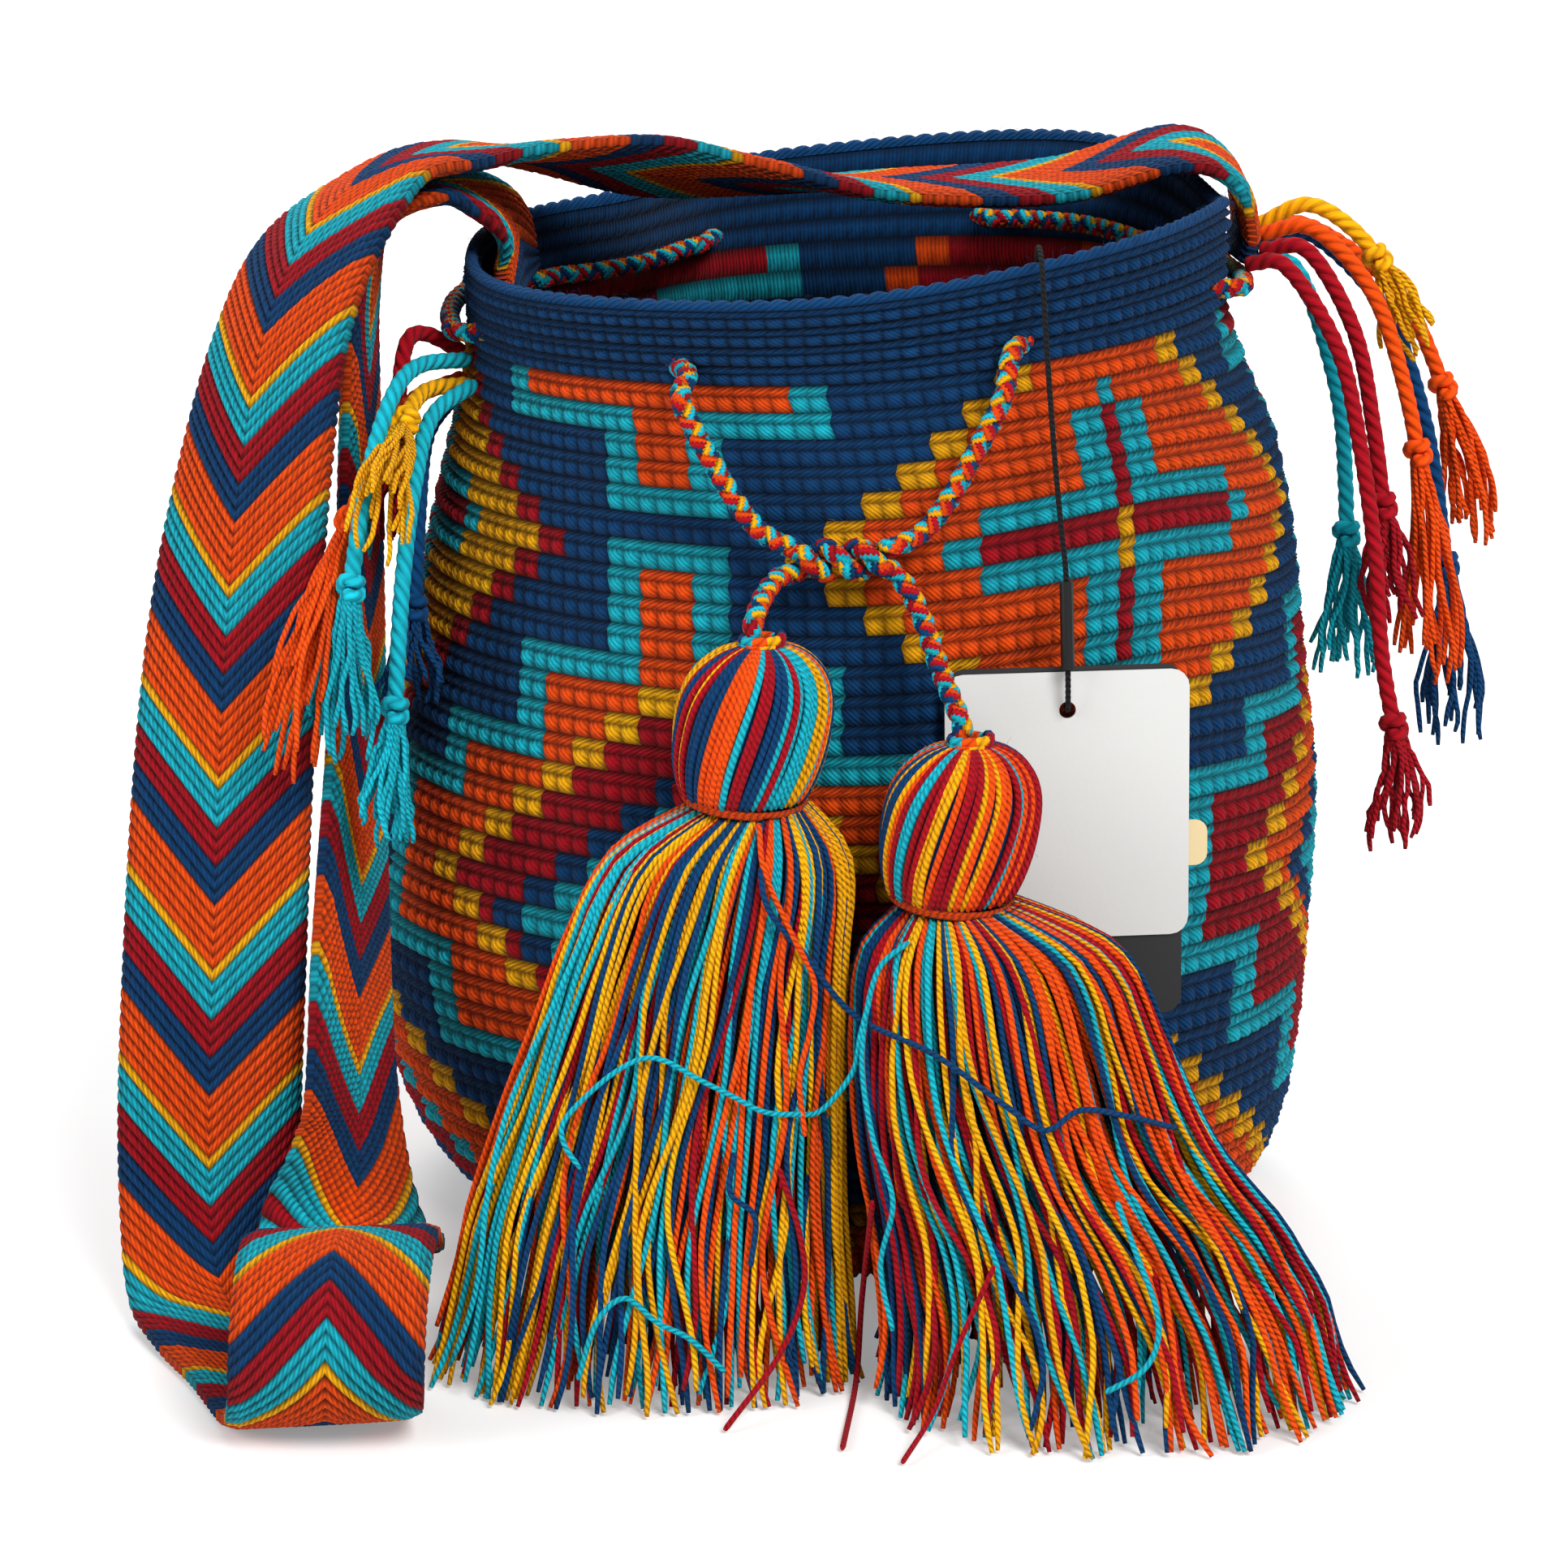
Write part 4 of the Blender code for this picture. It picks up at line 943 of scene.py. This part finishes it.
# strap: the CAD's own route, as a place, the way across and the bow at each point
STRAP_WIDTH = 0.046
STRAP_THICK = 0.0050
STRAP_ROUTE = [
    (0.1042, 0.018, 0.2470, 0.0, -1.0, 0.0, 0.0),
    (0.1056, 0.019, 0.2570, 0.0, -1.0, 0.0, 0.0),
    (0.1015, 0.020, 0.2695, 0.0, -1.0, 0.0, 0.0),
    (0.0870, 0.021, 0.2752, 0.0, -1.0, -0.06, 0.0),
    (0.0560, 0.022, 0.2668, 0.0, -1.0, -0.04, 0.0),
    (0.0130, 0.021, 0.2655, 0.0, -1.0, 0.05, 0.0),
    (-0.0200, 0.019, 0.2680, 0.0, -1.0, 0.30, 0.0),
    (-0.0500, 0.016, 0.2715, 0.0, -0.9, 0.45, 0.0),
    (-0.0800, 0.010, 0.2755, 0.0, -1.0, 0.25, 0.0),
    (-0.1000, 0.004, 0.2762, 0.1, -1.0, 0.05, 0.0),
    (-0.1190, -0.008, 0.2725, 0.35, -0.9, 0.10, 0.001),
    (-0.1350, -0.026, 0.2600, 0.60, -0.75, 0.0, 0.003),
    (-0.1450, -0.043, 0.2380, 0.72, -0.65, 0.0, 0.004),
    (-0.1510, -0.057, 0.2050, 0.85, -0.50, 0.0, 0.004),
    (-0.1545, -0.070, 0.1680, 0.95, -0.30, 0.0, 0.003),
    (-0.1565, -0.084, 0.1280, 1.0, -0.15, 0.0, 0.002),
    (-0.1580, -0.095, 0.0880, 1.0, -0.05, 0.0, 0.001),
    (-0.1595, -0.100, 0.0520, 1.0, 0.0, 0.0, 0.0),
    (-0.1595, -0.103, 0.0260, 1.0, 0.0, 0.0, 0.0),
    (-0.1570, -0.112, 0.0095, 1.0, 0.1, 0.0, 0.0),
    (-0.1490, -0.129, 0.0034, 1.0, 0.35, 0.0, 0.0),
    (-0.1380, -0.152, 0.0028, 1.0, 0.4, 0.0, 0.0),
    (-0.1275, -0.180, 0.0034, 1.0, 0.25, 0.0, 0.0),
    (-0.1235, -0.199, 0.0108, 1.0, 0.05, 0.0, -0.001),
    (-0.1225, -0.2060, 0.0245, 1.0, 0.0, 0.0, -0.002),
    (-0.1220, -0.1990, 0.0385, 1.0, 0.0, 0.0, -0.002),
    (-0.1215, -0.182, 0.0448, 1.0, 0.0, 0.0, -0.001),
    (-0.1215, -0.160, 0.0400, 1.0, 0.10, 0.0, 0.0),
    (-0.1220, -0.139, 0.0285, 0.95, 0.30, 0.0, 0.0),
    (-0.1228, -0.119, 0.0270, 0.7, 0.70, 0.0, 0.0),
    (-0.1235, -0.103, 0.0440, 0.45, 0.9, 0.0, 0.0),
    (-0.1240, -0.090, 0.0790, 0.3, 0.95, 0.0, 0.0),
    (-0.1240, -0.062, 0.1250, 0.18, 0.95, 0.0, 0.0),
    (-0.1240, -0.037, 0.1650, 0.12, 1.0, 0.0, 0.0),
    (-0.1245, -0.019, 0.2050, 0.08, 1.0, 0.0, 0.0),
    (-0.1240, -0.008, 0.2380, 0.05, 1.0, 0.0, 0.0),
    (-0.1190, -0.002, 0.2590, 0.0, 1.0, 0.0, 0.0),
    (-0.1075, 0.003, 0.2672, 0.0, 1.0, 0.0, 0.0),
    (-0.0960, 0.007, 0.2650, 0.0, 1.0, 0.0, 0.0),
    (-0.0870, 0.011, 0.2560, 0.10, 1.0, 0.0, 0.0),
    (-0.0845, 0.013, 0.2390, 0.14, 1.0, 0.0, 0.0),
]
STRAP_TURN = 0.6881         # past this part of its length the chevrons point back
TURN_SHARE = 0.022          # part of its length over which they turn, to either side
RIDGE = 0.0032              # one cord of the weave along the band
SLOPE = 1.15                # how far a cord runs along while it crosses half
BAND = ["orange"] * 5 + ["yellow"] + ["teal"] * 3 + ["red"] * 3 + ["navy"] * 3
BAND_SHIFT = 3              # cords by which the colours lie further along
CORD_SHAPE = [0.0, 0.95, 0.95]      # height of the three lines along each cord
CORD_HIGH = 0.0010
PLAITED_EDGE = 0.86         # the thinner edge starts here, as a part of half width
HALF_LINES = 22             # faces across half of the band
CORD_WIDE = 3.2             # mm, a cord of the weave in the UVs
CORD_LONG = 35.0            # mm, from the band's middle to its side there


def strap_surface(stations, length):
    """A function that gives points of the band: along, across and out of it."""
    here = stations[:, :3]
    run = np.gradient(here, axis=0)
    run /= np.linalg.norm(run, axis=1)[:, None]
    wide = stations[:, 3:6]
    wide = wide - run * (wide * run).sum(1)[:, None]
    wide /= np.linalg.norm(wide, axis=1)[:, None]
    fields = np.concatenate([here, wide, np.cross(run, wide), stations[:, 6:]], 1)
    grid = np.linspace(0, length, len(stations))

    def at(along, side, out):
        x = np.clip(along, 0, length)
        f = np.stack([np.interp(x, grid, fields[:, k]) for k in range(10)], -1)
        return (f[:, :3] + f[:, 3:6] * (side * STRAP_WIDTH / 2)[..., None]
                + f[:, 6:9] * (out - f[:, 9] * side * side)[..., None])

    return at


def make_strap():
    stations, length = resample(STRAP_ROUTE, 900, 1200)
    at = strap_surface(stations, length)
    reach = SLOPE * STRAP_WIDTH / 2
    cords = int(length / RIDGE)
    per = len(CORD_SHAPE)
    lines = cords * per
    front = np.linspace(-1, 1, 2 * HALF_LINES + 1)
    sides = np.concatenate([front, front[::-1]])
    faced = np.concatenate([np.ones(len(front)), -np.ones(len(front))])
    n = len(sides)
    away = np.abs(sides)
    edge = np.clip(away - PLAITED_EDGE, 0, None) / (1 - PLAITED_EDGE)
    verts, painted_shade = [], []
    for k in range(lines + 1):
        base = length * k / lines
        ends = min(base, length - base) / reach
        turned = min(max((base / length - STRAP_TURN) / TURN_SHARE, -1.0), 1.0)
        along = base - turned * (0.5 - away) * reach * min(1.0, ends)
        shape = CORD_SHAPE[k % per]
        ply = 0.13 * np.sin(2 * math.pi * (away * 9 + (k // per) * 0.5 + (k % per) * 0.12))
        rise = CORD_HIGH * (shape + ply * (shape > 0))
        thick = (STRAP_THICK / 2 - CORD_HIGH + rise) * (1 - 0.50 * edge)
        verts.append(at(along, sides * (1 + 0.012 * (shape - 0.5)), faced * thick))
        # painted shade: colour darkens in the grooves between cords and between their beads,
        # and is up to a quarter darker towards the plaited edges
        painted_shade.append(np.clip(0.22 + 0.80 * (shape + ply * 2.0), 0.2, 1.0)
                    * (1 - 0.25 * edge))

    def place(x, y):
        """Two plies twisted round each other along each cord."""
        return np.stack([x / 2.0 + y / CORD_WIDE, x / 1.3], -1)

    middle = round(STRAP_TURN * cords) + BAND_SHIFT
    colours, uvs = [], []
    for k in range(lines):
        cord = k // per
        band = (cord if cord <= middle else 2 * middle - cord) - BAND_SHIFT
        colour = np.array(YARN[BAND[band % len(BAND)]]) * (1 + 0.06 * math.sin(cord * 2.7))
        colours.append(np.broadcast_to(colour, (n, 3)))
        x = away * CORD_LONG
        uvs.append(corner_uvs(place, x, np.roll(x, -1), (k % per) / per * CORD_WIDE,
                              (k % per + 1) / per * CORD_WIDE))
    # flat quads from the front to the back close both ends
    quads = np.array([[k, k + 1, n - 2 - k, n - 1 - k] for k in range(2 * HALF_LINES)])
    faces = np.concatenate([band_faces(lines + 1, n), quads[:, ::-1], quads + lines * n])
    colours.append(np.broadcast_to(np.array(YARN["orange"]), (2 * len(quads), 3)))
    end_uvs = [[0.5, k] for k in range(2 * HALF_LINES) for _ in range(4)] * 2
    uvs = np.concatenate([np.concatenate(uvs).reshape(-1, 2), np.array(end_uvs)])
    obj = mesh_piece("strap_band", np.concatenate(verts), faces, np.concatenate(colours),
                     uvs, WOVEN, np.concatenate(painted_shade))
    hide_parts("strap")


make_strap()


# tassels; a skirt's rows: part of the fall left, middle x and y, half width and depth
LEFT_SKIRT = [
    (0.00, -0.0490, -0.1490, 0.0540, 0.0305), (0.16, -0.0475, -0.1465, 0.0520, 0.0295),
    (0.30, -0.0460, -0.1430, 0.0490, 0.0275), (0.52, -0.0408, -0.1385, 0.0430, 0.0250),
    (0.73, -0.0355, -0.1350, 0.0378, 0.0230), (0.86, -0.0309, -0.1330, 0.0345, 0.0215),
    (0.94, -0.0275, -0.1305, 0.0285, 0.0185), (0.98, -0.0248, -0.1290, 0.0215, 0.0165),
    (1.00, -0.0226, -0.1275, 0.0146, 0.0142),
]
RIGHT_SKIRT = [
    (0.00, 0.0650, -0.1640, 0.0585, 0.0420), (0.20, 0.0625, -0.1600, 0.0570, 0.0385),
    (0.37, 0.0550, -0.1540, 0.0515, 0.0340), (0.48, 0.0475, -0.1505, 0.0465, 0.0315),
    (0.60, 0.0425, -0.1470, 0.0430, 0.0290), (0.74, 0.0390, -0.1430, 0.0402, 0.0265),
    (0.87, 0.0362, -0.1395, 0.0362, 0.0240), (0.95, 0.0330, -0.1360, 0.0290, 0.0200),
    (0.985, 0.0300, -0.1340, 0.0215, 0.0170), (1.00, 0.0275, -0.1325, 0.0146, 0.0142),
]
STRAND = 0.00078            # radius of a tassel yarn
STRAND_PITCH = 0.0036
LEAN = 0.0022               # how far a head leans over at its top
HEAD_STRANDS = 62
HEAD_STRAND = 0.00098       # radius
COLLAR_RADIUS = 0.0047      # of the plaited ring where the cord enters a head
COLLAR_YARN = 0.0013
BINDING_LOOP = 0.0146
BINDING_THREAD = 0.00085
ON_FLOOR = 0.0012           # how high a stray yarn lies on the floor
ON_SKIRT = 0.0012           # and how far out on a skirt
WINDING = ["teal", "teal", "orange", "orange", "yellow", "navy", "red", "red", "yellow",
           "navy"]


def strand_colours(count):
    """Colours in small groups, as yarns are wound in lengths of one colour."""
    out = []
    while len(out) < count:
        colour = RNG.choice(WINDING)
        out += [colour] * RNG.choice([1, 1, 1, 2])
    return out[:count]


def head_radius(t):
    """Radius of a head: t is 1 at its top and -1 at its bottom."""
    if t < 0:
        return HEAD_RADIUS * (1 - 0.20 * abs(t) ** 2.4)
    return max(HEAD_RADIUS * max(1 - t ** 2.5, 0.0) ** 0.5, 0.0026)


def tassel_head(side, middle):
    bundle = Bundle()
    colours = strand_colours(HEAD_STRANDS)
    mx, my, mz = middle

    def spot(t, a, r, half):
        return (mx + LEAN * t + r * math.cos(a), my + r * math.sin(a), mz + t * half)

    for k in range(HEAD_STRANDS):
        a0 = 2 * math.pi * k / HEAD_STRANDS
        lean = RNG.uniform(-0.05, 0.05)
        points = []
        for n in range(19):
            t = 1.0 - 2.0 * n / 18
            r = head_radius(t) - STRAND * 0.9 + (0.0004 if k % 2 else 0.0)
            points.append(spot(t, a0 + 0.22 * t + lean * (1 - t * t), r,
                               HEAD_HEIGHT / 2 - 0.0004))
        bundle.yarn(shade_of(colours[k]), resample(points, 26, 160)[0],
                    HEAD_STRAND, 6, STRAND_PITCH, lobes=0.12)
    # the yarns under the outer ones, coloured navy at half brightness as painted shade in the
    # gaps between the outer yarns
    rings, sides = 12, 24
    core = [spot(t, 2 * math.pi * k / sides, head_radius(t) - 0.0012,
                 HEAD_HEIGHT / 2 - 0.0012)
            for t in (1.0 - 2.0 * n / rings for n in range(rings + 1)) for k in range(sides)]
    bottom = cap(range(rings * sides, (rings + 1) * sides))
    faces = np.concatenate([band_faces(rings + 1, sides)[:, [0, 3, 2, 1]],
                            np.array(cap(range(sides))), np.array(bottom)[:, ::-1]])
    uvs = [c for n in range(rings) for k in range(sides)
           for c in ([k, n], [k, n + 1], [k + 1, n + 1], [k + 1, n])]
    bundle.add(np.array(core), faces, with_cap_uvs(np.array(uvs, float), 2 * len(bottom)),
               tuple(c * 0.5 for c in YARN["navy"]))
    # the plaited collar
    ring = []
    for k in range(61):
        a = 2 * math.pi * 2.1 * k / 60
        ring.append((mx + LEAN + COLLAR_RADIUS * math.cos(a), my + COLLAR_RADIUS * math.sin(a),
                     mz + HEAD_HEIGHT / 2 - 0.0012 + 0.0024 * k / 60))
    v, f, uv = tube_mesh(ring, COLLAR_YARN, 8, 0.0050, lobes=0.15)
    bundle.add(v, f, uv, [YARN[MIXED[k // 24 % len(MIXED)]] for k in range(len(f))])
    obj = bundle.piece("head_yarns_" + side)
    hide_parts("tassel_head_" + side)


def tassel_binding(side, middle):
    top = middle[2] - HEAD_HEIGHT / 2 - CLEAR
    points = []
    for k in range(91):
        a = 2 * math.pi * 1.8 * k / 90
        points.append((middle[0] - LEAN + BINDING_LOOP * math.cos(a),
                       middle[1] + BINDING_LOOP * math.sin(a),
                       top + 0.0004 - 0.0010 * k / 90 - 0.0012 * math.cos(a + 0.3)))
    bundle = Bundle()
    bundle.yarn(tuple(c * 0.55 for c in YARN["orange"]), points, BINDING_THREAD, 8, 0.0034,
                lobes=0.1)
    obj = bundle.piece("binding_thread_" + side)
    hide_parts("tassel_binding_" + side)


def skirt_top(head):
    return head[2] - HEAD_HEIGHT / 2 - BINDING_HEIGHT * 0.4


def skirt_section(outline, part):
    """Middle and half sizes of the skirt where part of the fall is left."""
    levels = [row[0] for row in outline]
    return [float(np.interp(part, levels, [row[k] for row in outline]))
            for k in range(1, 5)]


def sight(across, down):
    """Start and run of the line of sight through a spot of the picture."""
    tilt = math.atan((EYE[2] - AIM[2]) / (AIM[1] - EYE[1]))
    reach = Vector((0, math.cos(tilt), -math.sin(tilt)))
    up = Vector((0, math.sin(tilt), math.cos(tilt)))
    ray = (reach + Vector((1, 0, 0)) * ((across - PICTURE_MIDDLE) / FOCAL)
           + up * ((PICTURE_MIDDLE - down) / FOCAL))
    return Vector(EYE), ray


def on_tassels(across, down):
    """The nearest point of a tassel's skirt, or of the floor, at that spot."""
    start, ray = sight(across, down)
    for k in range(220):
        depth = -0.215 + 0.0005 * k
        p = start + ray * ((depth - start.y) / ray.y)
        if p.z < ON_FLOOR:
            return tuple(p)
        for head, outline in ((LEFT_HEAD, LEFT_SKIRT), (RIGHT_HEAD, RIGHT_SKIRT)):
            top = skirt_top(head)
            if p.z > top:
                continue
            x, y, wide, deep = skirt_section(outline, p.z / top)
            wide, deep = wide + ON_SKIRT, deep + ON_SKIRT
            if ((p.x - x) / wide) ** 2 + ((p.y - y) / deep) ** 2 < 1:
                return tuple(p)
    return None


def stray_route(spots):
    """A yarn over those spots; where nothing lies behind, it bridges across."""
    points = [on_tassels(u, w) for u, w in spots]
    known = [k for k, p in enumerate(points) if p]
    depths = [points[k][1] for k in known]
    for k, (u, w) in enumerate(spots):
        if not points[k]:
            depth = float(np.interp(k, known, depths))
            start, ray = sight(u, w)
            points[k] = tuple(start + ray * ((depth - start.y) / ray.y))
    return points


# single yarns that stray from the tassels: colour and spots in the picture, in pixels
STRAYS = {
    "left": [
        ("teal", [(715, 1440), (697, 1414), (692, 1389), (709, 1364), (751, 1326),
                  (789, 1305), (819, 1307), (861, 1330), (903, 1351), (941, 1370),
                  (979, 1373), (1012, 1368), (1050, 1322), (1060, 1276), (1072, 1230)]),
        ("orange", [(935, 1015), (942, 1075), (975, 1150), (1003, 1210), (998, 1270),
                    (985, 1330), (992, 1400)]),
        ("red", [(960, 1440), (985, 1520), (990, 1590), (960, 1670), (893, 1762)]),
        ("teal", [(712, 1700), (735, 1630), (770, 1600), (810, 1630), (850, 1650),
                  (893, 1690)]),
        ("navy", [(905, 1420), (900, 1470), (930, 1500), (925, 1560)]),
    ],
    "right": [
        ("navy", [(936, 1070), (947, 1121), (991, 1176), (1053, 1251), (1152, 1300),
                  (1238, 1362), (1288, 1393), (1331, 1368), (1387, 1375), (1449, 1390)]),
        ("teal", [(1376, 1480), (1400, 1545), (1424, 1610), (1426, 1655), (1407, 1690),
                  (1362, 1716)]),
        ("red", [(1225, 1560), (1180, 1660), (1150, 1740), (1112, 1802)]),
        ("teal", [(1120, 1160), (1080, 1200), (1062, 1300), (1075, 1400), (1100, 1480),
                  (1085, 1560), (1100, 1640)]),
        ("red", [(1075, 1480), (1062, 1600), (1055, 1700), (1038, 1785)]),
    ],
}
OUTER_SHARE = 0.62          # part of a skirt's yarns that lie on its outside
GOLDEN = 0.61803            # turns from one inner yarn to the next


def tassel_skirt(side, head, outline, count):
    bundle = Bundle()
    top = skirt_top(head)
    colours = strand_colours(count)
    for k in range(count):
        outer = k < count * OUTER_SHARE
        a0 = 2 * math.pi * k / (count * OUTER_SHARE) if outer \
            else 2 * math.pi * ((k * GOLDEN) % 1.0)
        rho = RNG.uniform(0.86, 1.0) if outer else math.sqrt(RNG.random()) * 0.85
        bend = RNG.gauss(0, 0.13)
        wave = RNG.uniform(0.01, 0.10)
        freq = RNG.uniform(0.7, 1.9)
        shift = RNG.uniform(0, 6.28)
        swell = RNG.uniform(-0.05, 0.05)
        kick = RNG.uniform(0.0, 0.10)
        end = RNG.choice([0.0, 0.0, RNG.uniform(0.0, 0.05), RNG.uniform(0.0, 0.10)])
        points = []
        for n in range(15):
            fall = n / 14
            part = 1.0 - fall * (1.0 - end)
            x, y, wide, deep = skirt_section(outline, part)
            a = a0 + bend * fall + wave * min(1.0, 2 * fall) \
                * math.sin(freq * 6.28 * fall + shift)
            r = rho * (1 + swell * math.sin(3.14 * fall)
                       + kick * max(0.0, (fall - 0.8) / 0.2) ** 2 - 0.03)
            points.append((x + (wide - STRAND) * r * math.cos(a),
                           y + (deep - STRAND) * r * math.sin(a),
                           max(top * part, STRAND + 0.0002)))
        bundle.yarn(shade_of(colours[k], 0.14),
                    resample(points, 26 if outer else 22, 200)[0],
                    STRAND, 6 if outer else 4, STRAND_PITCH)
    for colour, spots in STRAYS[side]:
        path = resample(stray_route(spots), 70, 400)[0]
        path[:, 2] = np.maximum(path[:, 2], 0.0009)
        bundle.yarn(shade_of(colour, 0.05), path, STRAND * 0.92, 6, STRAND_PITCH)
    obj = bundle.piece("skirt_yarns_" + side)
    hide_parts("tassel_skirt_" + side)


for side, head, outline, count in (("left", LEFT_HEAD, LEFT_SKIRT, 340),
                                   ("right", RIGHT_HEAD, RIGHT_SKIRT, 380)):
    tassel_head(side, head)
    tassel_binding(side, head)
    tassel_skirt(side, head, outline, count)


# loose fibres that stand off the wool
def fuzz(name, source, count, node_name, where=lambda p: True):
    """Fine fibres on random faces of a piece, in that spot's colour with any painted shade it
    carries, made lighter as a painted sheen.
    """
    mesh = bpy.data.objects[source].data
    data = mesh.attributes["yarn"].data
    spots = []
    while len(spots) < count:
        face = mesh.polygons[int(NRNG.integers(len(mesh.polygons)))]
        if face.area >= 1e-9 and where(face.center):
            spots.append((tuple(face.center), tuple(face.normal),
                          tuple(data[face.loop_start].color)[:3]))
    bundle = Bundle()
    for place, away, colour in spots:
        place, away = np.array(place), np.array(away)
        swing = NRNG.normal(0, 1, 3)
        swing -= away * swing.dot(away)
        swing /= np.linalg.norm(swing) + 1e-9
        length = NRNG.uniform(0.0012, 0.0036)
        points = [place + away * (-0.0003 + length * 0.5 * math.sin(1.1 * k))
                  + swing * length * k / 2 for k in range(3)]
        # painted sheen: each fibre is 1.5 times lighter than the yarn colour it stands off
        bundle.yarn(np.clip(np.array(colour) * 1.5, 0, 1), points, 0.000038, 4, 0.01, 1)
    obj = bundle.piece(name)
    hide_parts(node_name)


fuzz("rim_fuzz", "rim_edge", 320, "bag_body")
fuzz("wall_fuzz", "wall_outside_upper", 700, "bag_body", lambda p: p.y < 0.03)
fuzz("strap_fuzz", "strap_band", 700, "strap", lambda p: p.z > 0.006)
for side in ("left", "right"):
    fuzz("head_fuzz_" + side, "head_yarns_" + side, 200, "tassel_head_" + side)


# card and plastic: name of the material, colour, roughness, grain and its contrast
TAG_LOOKS = {
    "tag_front_card": ("card_white", (217, 218, 216), 0.45, 900, 0.015),
    "tag_back_card": ("card_black", (30, 31, 34), 0.5, 900, 0.1),
    "tag_tab": ("card_cream", (232, 210, 160), 0.5, 700, 0.03),
    "tag_sleeve": ("sleeve_black", (18, 18, 20), 0.28, 600, 0.15),
}


def plain_material(name, colour, rough, grain, contrast):
    mat, t, shader = new_material(name, rough)
    place = t.nodes.new("ShaderNodeTexCoord")
    noise = node(t, "ShaderNodeTexNoise", Scale=grain, Detail=4.0)
    t.links.new(place.outputs["Object"], noise.inputs["Vector"])
    ramp = t.nodes.new("ShaderNodeMapRange")
    ramp.inputs["To Min"].default_value = 1 - contrast
    ramp.inputs["To Max"].default_value = 1 + contrast
    t.links.new(noise.outputs["Fac"], ramp.inputs["Value"])
    tint = node(t, "ShaderNodeHueSaturation", Color=(*srgb(*colour), 1))
    t.links.new(ramp.outputs[0], tint.inputs["Value"])
    t.links.new(tint.outputs[0], shader.inputs["Base Color"])
    relief = node(t, "ShaderNodeBump", Strength=0.25, Distance=0.0001)
    t.links.new(noise.outputs["Fac"], relief.inputs["Height"])
    t.links.new(relief.outputs[0], shader.inputs["Normal"])
    return mat


for name, looks in TAG_LOOKS.items():
    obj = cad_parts[name]
    obj.data.materials.clear()
    obj.data.materials.append(plain_material(*looks))


# floor, light and background
FLOOR_GLOW = 0.26           # what the camera sees the floor add to its own colour
SUN_POWER = 2.5
SUN_WIDTH = math.radians(28)
SUN_RUN = (-0.8, 1.25, -1.5)
AMBIENT = 0.42


def backdrop():
    mat, t, shader = new_material("floor_white", 0.6)
    shader.inputs["Base Color"].default_value = (0.80, 0.80, 0.80, 1)
    shader.inputs["Specular IOR Level"].default_value = 0.1
    shader.inputs["Emission Color"].default_value = (FLOOR_GLOW, FLOOR_GLOW, FLOOR_GLOW, 1)
    rays = t.nodes.new("ShaderNodeLightPath")
    t.links.new(rays.outputs["Is Camera Ray"], shader.inputs["Emission Strength"])
    mesh = bpy.data.meshes.new("floor")
    mesh.from_pydata([(-6, -6, 0), (6, -6, 0), (6, 6, 0), (-6, 6, 0)], [], [(0, 1, 2, 3)])
    mesh.materials.append(mat)
    obj = bpy.data.objects.new("floor", mesh)
    bpy.context.collection.objects.link(obj)


def area_lamp(name, place, aim, size, power):
    data = bpy.data.lights.new(name, "AREA")
    data.size = size
    data.energy = power
    placed(name, data, place, aim)


def make_light():
    sun = bpy.data.lights.new("key", "SUN")
    sun.energy = SUN_POWER
    sun.angle = SUN_WIDTH
    placed("key", sun, (0, 0, 0), SUN_RUN)
    area_lamp("fill", (-1.5, -1.0, 1.0), (0, 0, 0.12), 0.9, 14)
    area_lamp("back", (-0.2, 1.2, 1.5), (0, 0, 0.15), 1.0, 16)


def make_world():
    """Soft light from all round, which the camera sees as white."""
    world = bpy.data.worlds.new("world")
    world.use_nodes = True
    t = world.node_tree
    sky = t.nodes["Background"]
    sky.inputs["Color"].default_value = (1, 1, 1, 1)
    sky.inputs["Strength"].default_value = AMBIENT
    rays = t.nodes.new("ShaderNodeLightPath")
    strength = math_node(t, "MAXIMUM", rays.outputs["Is Camera Ray"], AMBIENT)
    t.links.new(strength, sky.inputs["Strength"])
    bpy.context.scene.world = world


backdrop()
make_light()
make_world()
bpy.context.scene.view_settings.view_transform = "Standard"
